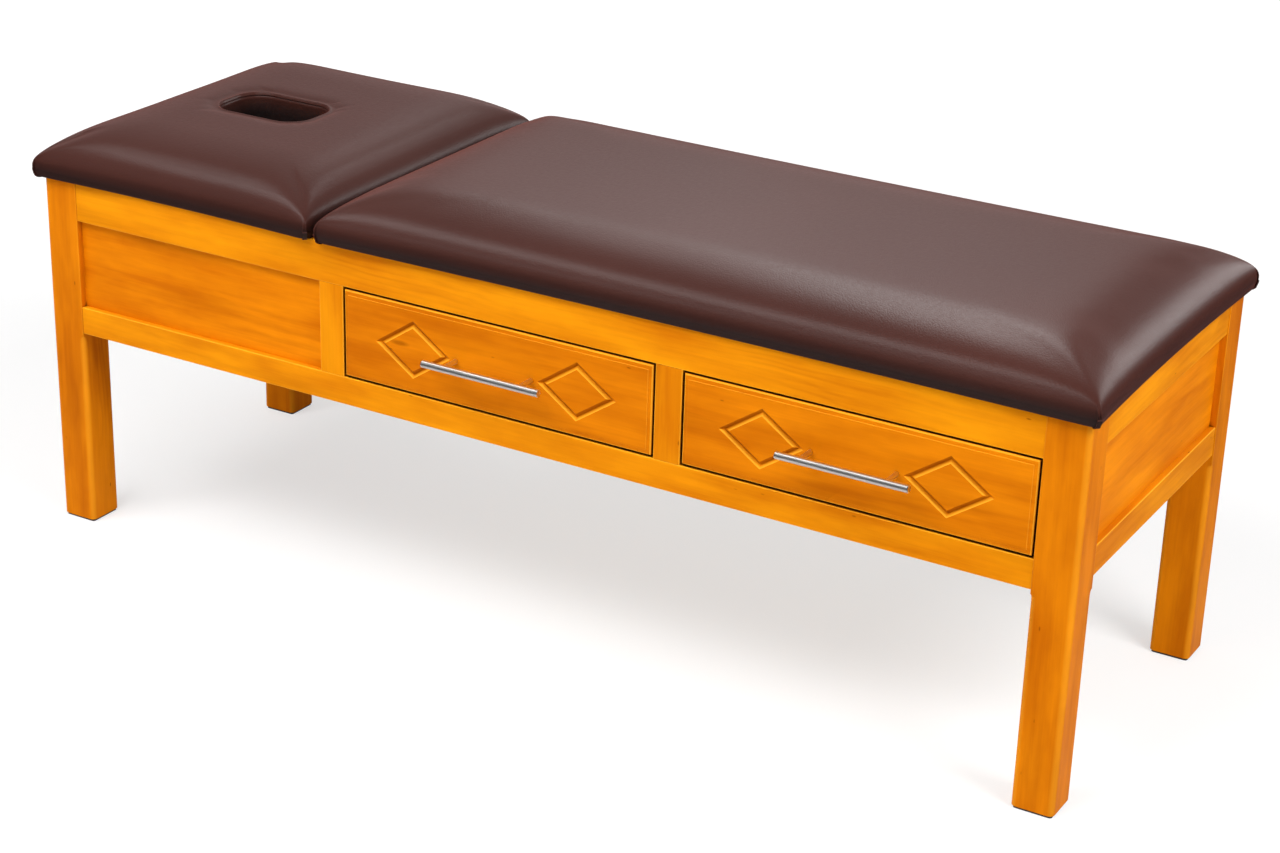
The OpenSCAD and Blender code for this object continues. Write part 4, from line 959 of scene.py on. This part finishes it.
def head_surface(half_x, half_y, hole_x):
    """Closed rings from the sleeve's foot to the underside, joined into one tube, the ridge
    points of the four corners, and each point's share of painted shade, which grows down the
    sleeve."""
    centre = np.array([hole_x, 0.0])
    spaced = [np.r_[-h + CLOSE_RAYS, np.linspace(-h + NEXT_RAY, h - NEXT_RAY, n),
                    h - CLOSE_RAYS[::-1]]
              for h, n in ((half_x, 40), (half_y, 48))]
    outer = rectangle_path(*spaced)
    inner = hole_path(outer, centre)
    span = np.linalg.norm(outer - inner, axis=1)
    edge = edge_places()
    edge = edge[edge < ROLLED][::-1]
    # The rows between start 15 mm from the hole and end 3 mm before the edge's first row
    first, last = 15 * MM / span, 1 - (edge[0] + 3 * MM) / span
    between = first + (last - first) * np.linspace(0, 1, BETWEEN)[:, None] ** 1.15
    share = np.concatenate([LIP_ROWS[:, None] / span, between, 1 - edge[:, None] / span])
    flat = inner[None] + (outer - inner)[None] * share[:, :, None]
    x, y = flat[..., 0], flat[..., 1]
    away = np.clip(hole_distance(x - hole_x, y), 0, None)
    dip = DIP * np.clip(1 - away / DIP_WIDTH, 0, 1) ** 2
    lip = (LIP * np.exp(-((away - LIP_AT) / LIP_WIDTH) ** 2)
           - RIM * np.clip(1 - away / RIM_WIDTH, 0, 1) ** 2)
    px, py = drawn_outline(x, y, half_x, half_y, DRAWN, 0)
    top = np.stack([px, py, crown_height(x, y, half_x, half_y) - dip + lip], -1)
    sleeve = []
    for depth, inset in SLEEVE:
        ring = top[0].copy()
        reach = np.abs(ring[:, :2] - centre).max(0)
        ring[:, :2] = centre + (ring[:, :2] - centre) * (1 - inset * MM / reach)
        ring[:, 2] -= depth * MM
        sleeve.append(ring)
    foot = top[0].copy()
    foot[:, 2] = 0
    rings = np.concatenate([[foot], sleeve[::-1], top, side_rings(top[-1])])
    count = len(outer)
    i, j = np.meshgrid(np.arange(len(rings)), np.arange(count), indexing="ij")
    total = len(rings) * count
    a, b = i * count + j, i * count + (j + 1) % count
    faces = quads(a, b, (b + count) % total, (a + count) % total)
    widest = len(rings) - UNDER - 1
    m, n = (len(places) - 1 for places in spaced)
    corners = [0, n, n + m, 2 * n + m]
    rows = np.arange(widest + UNDER - 1, widest - RIDGE, -1)
    # Painted shade down the sleeve: none at its rim, full deep in it and at its foot
    inside = np.zeros((len(rings), count))
    depths = np.array(SLEEVE)[::-1, :1]
    inside[1:1 + len(SLEEVE)] = np.clip((depths - DARK_FROM) / DARK_OVER, 0, 1)
    inside[0] = 1
    return rings.reshape(-1, 3), faces, [rows * count + c for c in corners], inside.ravel()


middle, half_x, half_y = pad_frame("head_pad")
hole_x = FACE_HOLE_X - middle[0]
points, faces, head_ridges, inside = head_surface(half_x, half_y, hole_x)
head_pad = new_object("head_cushion", points + middle, faces, cover, sharp=180, merge=False,
                      inside=inside)
near_hole = hole_distance(points[:, X] - hole_x, points[:, Y]) < STITCHED
head_points = filled(head_pad, (points[:, Z] < FOOT) | near_hole, 1)
settle(head_pad, "head", "head_pad")
print("head cushion:", len(points), "points")

# %% [markdown]
# At each corner the cover's two sides are sewn together. Two narrow folds lie beside that
# seam. They grow out of the underside, go over the widest line and fade into the ridge.
# The seam is a small closed profile, carried along the ridge points of the filled pad.

# %% Corner seams
# Across and outwards, in mm: a fold on either side of the groove
FOLD = [(-3.6, -1.4), (-3.0, 0.0), (-2.2, 0.8), (-1.3, 0.9), (-0.6, 0.2)]
FOLDS = FOLD + [(0.0, -0.6)] + [(-u, w) for u, w in FOLD[::-1]]
SUNK = 1.2 * MM  # how deep a fold lies where its size is nought


def along_path(path, profile, sizes, side):
    """Carries a closed profile (across, outwards) along a path. side points across. A
    place of less than full size lies lower: size w - (1 - size) SUNK."""
    tangent = np.gradient(path, axis=0)
    tangent /= lengths(tangent)
    across = side - (tangent @ side)[:, None] * tangent
    across /= lengths(across)
    outwards = np.cross(across, tangent)
    away = path - path.mean(0)
    up = np.array([away[0, X], away[0, Y], 1])
    outwards *= np.sign((outwards * up).sum(1, keepdims=True) + 1e-9)  # never nought
    u, w = np.array(profile).T * MM
    rise_by = w[None] * sizes[:, None] - (1 - sizes[:, None]) * SUNK
    rings = (path[:, None] + across[:, None] * u[None, :, None]
             + outwards[:, None] * rise_by[..., None])
    return rings.reshape(-1, 3), tube_faces(len(path), len(u))


for name, positions, ridges, body in (("body", body_points, body_ridges, "frame"),
                                      ("head", head_points, head_ridges, "head")):
    centre = pad_frame(f"{name}_pad")[0]
    seams = []
    for ridge in ridges:
        path = positions[ridge]
        reach = path[UNDER - 1] - centre
        side = np.array([-np.sign(reach[X]), np.sign(reach[Y]), 0]) / math.sqrt(2)
        sizes = np.r_[0, 0.3, 0.6, 0.85, np.ones(UNDER - 4),
                      np.linspace(0.95, -0.3, len(path) - UNDER)]
        seams.append(along_path(path, FOLDS, sizes, side))
    settle(new_object(f"{name}_corner_seams", *gathered(seams), cover, sharp=50), body)
print("corner seams:", len(body_ridges) + len(head_ridges))

# %% [markdown]
# ## The pieces that stay as CAD made them
#
# Drawer boxes, slides, struts, hinges and glides have the right shape already. They only
# get a finish. Their meshes can't carry the grain attribute, so their wood reads Object
# coordinates, turned so that the first part runs along the board.

# %% Finishes for CAD nodes
def along_axis(axis):
    """Object coordinates in the order along, across, through, moved off the trunk's axis."""
    def coords(f):
        split = f.add("SeparateXYZ", Vector=f.place()).outputs
        order = [axis] + [k for k in (X, Y, Z) if k != axis]
        node = f.add("CombineXYZ", _0=split[order[0]], _1=split[order[1]], _2=split[order[2]])
        moved = f.add("VectorMath", {"operation": "ADD"}, _0=node.outputs[0], _1=(3.1, 0.23, 0.37))
        return moved.outputs[0]
    return coords


def coated(name, colour, rough, relief, scale):
    """Painted or moulded surface: one colour, fine orange-peel relief from noise."""
    f = Finish(name)
    grit = f.noise(f.place(), scale, 3.0)
    f.put(f.shader, Base_Color=f.blend(grit, rgba(*colour), rgba(*[0.8 * c for c in colour])),
          Roughness=f.spread(grit, 0.3, 0.7, rough, rough + 0.1))
    f.bump(grit, relief, 0.4)
    return f.material


PINE = (rgba(0.74, 0.52, 0.30), rgba(0.55, 0.34, 0.16))
pine = {axis: wood_finish(f"plain_wood_{'xyz'[axis]}", *PINE, ring=0.007, rings=0.5, rough=0.5,
                          coords=along_axis(axis)) for axis in (X, Y, Z)}
zinc = brushed_steel("zinc_plate", (60.0, 300.0, 300.0), base=(0.62, 0.63, 0.64), rough=0.34)
black_paint = coated("black_paint", (0.018, 0.018, 0.020), 0.42, 0.00006, 900.0)
black_plastic = coated("black_plastic", (0.022, 0.022, 0.023), 0.5, 0.00008, 1400.0)
by_slot = {"zinc_steel": zinc, "strut_paint": black_paint, "black_plastic": black_plastic,
           "brushed_handles": handle_steel}
slots = {row["node"]: row["material_slot"] for row in frame["record"]["subparts"]}
for name, thing in frame["nodes"].items():
    longest = int(np.argmax(thing.dimensions))
    finish = by_slot.get(slots[name]) or pine[longest]
    thing.data.materials.clear()
    thing.data.materials.append(finish)
print("CAD nodes left in view:", sum(not o.hide_render for o in frame["nodes"].values()))

# %% [markdown]
# ## The studio
#
# The photograph is a cut-out on white with a faint shadow. The floor is a pale plane that
# takes the shadow and glows a little for the camera, more so far from the bed, and the world
# is white for the camera. A large soft lamp above the front gives most of the light, so that
# every ledge and upper arris is bright. A weaker one fills from the front, and one more
# lights the foot end. What the cover mirrors is set apart from what lights it, as
# photographers do with cards: a pale backdrop behind the bed, a dark room in front of it,
# and five bright cards, which draw the highlights along the pads' rolled edges and on the
# steel bars. Two of them have a grid, which keeps their light in a narrow cone, off the
# head pad.

# %% Floor, world and lamps
FLOOR = 30  # half the floor's width in metres
floor_mesh = bpy.data.meshes.new("floor")
floor_mesh.from_pydata([(-FLOOR, -FLOOR, 0), (FLOOR, -FLOOR, 0), (FLOOR, FLOOR, 0),
                        (-FLOOR, FLOOR, 0)], [], [(0, 1, 2, 3)])
floor = bpy.data.objects.new("floor", floor_mesh)
scene.collection.objects.link(floor)


def by_ray(f, lit, mirrored, seen):
    """lit for rays that only light, mirrored for reflections, seen for the camera."""
    path = f.add("LightPath").outputs
    mirror_ray = f.math("MAXIMUM", path["Is Glossy Ray"], path["Is Transmission Ray"])
    value = f.math("MULTIPLY_ADD", mirror_ray, f.math("SUBTRACT", mirrored, lit), lit)
    unseen = f.math("SUBTRACT", 1.0, path["Is Camera Ray"])
    return f.math("ADD", f.math("MULTIPLY", value, unseen),
                  f.math("MULTIPLY", seen, path["Is Camera Ray"]))


ground = Finish("pale_floor")
far = ground.add("VectorMath", {"operation": "LENGTH"}, _0=ground.place()).outputs["Value"]
grey = by_ray(ground, 0.7, ground.spread(far, 0.9, 1.6, 0.45, 0.06), 0.4)
pale = ground.add("CombineColor", _0=grey, _1=grey, _2=grey).outputs[0]
ground.put(ground.shader, Base_Color=pale, Emission_Color=rgba(1.0, 1.0, 1.0),
           Roughness=1.0, Specular_IOR_Level=0.0,
           Emission_Strength=by_ray(ground, 0.0, 0.0, ground.spread(far, 1.5, 3.0, 0.585, 0.85)))
floor_mesh.materials.append(ground.material)

world = bpy.data.worlds.new("studio")
scene.world = world
world.use_nodes = True


class Sky(Finish):
    """The same helper on the world's node tree."""

    def __init__(self, tree):
        self.tree = tree


sky = Sky(world.node_tree)
way = sky.add("SeparateXYZ", Vector=sky.add("TexCoord").outputs["Generated"]).outputs
pale = sky.spread(sky.math("ABSOLUTE", sky.math("ADD", way[0], 0.40)), 0.02, 0.2, 0.52, 0.28)
mirrored = sky.math("MULTIPLY", pale, sky.spread(way[1], -0.2, 0.6, 0.25, 1.0))
sky.put(world.node_tree.nodes["Background"], Color=rgba(1.0, 1.0, 1.0),
        Strength=by_ray(sky, 0.42, mirrored, 1.0))


def lamp(name, place, target, size, power, card=False, spread=180):
    """A rectangular area lamp that looks at a target and lights a cone of spread degrees.
    A card is seen only in mirrored rays, any other lamp only lights."""
    data = bpy.data.lights.new(name, "AREA")
    data.shape = "RECTANGLE"
    data.size, data.size_y = size
    data.energy = power
    data.spread = math.radians(spread)
    thing = bpy.data.objects.new(name, data)
    scene.collection.objects.link(thing)
    thing.location = place
    x, y, z = np.array(target, float) - np.array(place, float)
    tilt, turn = math.atan2(math.hypot(x, y), -z), math.atan2(y, x) - math.pi / 2
    thing.rotation_euler = (tilt, 0, turn)
    thing.visible_camera = False
    thing.visible_glossy, thing.visible_diffuse = card, not card


def card(name, place, target, size, brightness, spread=180):
    """A bright card: its power is brightness times pi times its area. A narrow spread makes
    the axis brighter by tan(h) / (tan(h) - h), h half the spread, so the power is divided."""
    half = math.radians(spread / 2)
    gain = 1.0 if spread == 180 else math.tan(half) / (math.tan(half) - half)
    power = brightness * math.pi * size[0] * size[1] / gain
    lamp(name, place, target, size, power, card=True, spread=spread)


lamp("overhead", (-0.9, -2.1, 3.3), (-0.1, 0, 0.5), (3.0, 1.2), 116)
lamp("front", (-1.9, -4.4, 1.9), (-0.2, 0, 0.5), (4.0, 2.4), 30)
lamp("end", (3.0, -0.7, 2.9), (0.6, 0, 0.5), (1.6, 1.6), 112)
card("back_card", (-0.92, 1.5, 1.95), (0.41, -0.2, 0.7), (0.8, 0.85), 2.0, spread=32)
card("foot_card", (-0.19, 1.62, 2.8), (0.71, -0.3, 0.68), (1.0, 1.85), 4.2, spread=48)
card("end_card", (2.0, 3.5, 1.9), (0.92, -0.05, 0.65), (1.5, 1.6), 2.7)
card("front_strip", (-0.9, -0.72, 2.38), (-0.65, -0.105, 0.66), (2.8, 0.6), 2.6)
card("front_card", (-1.8, -3.4, 2.9), (0.0, -0.33, 0.5), (1.6, 1.0), 1.0)
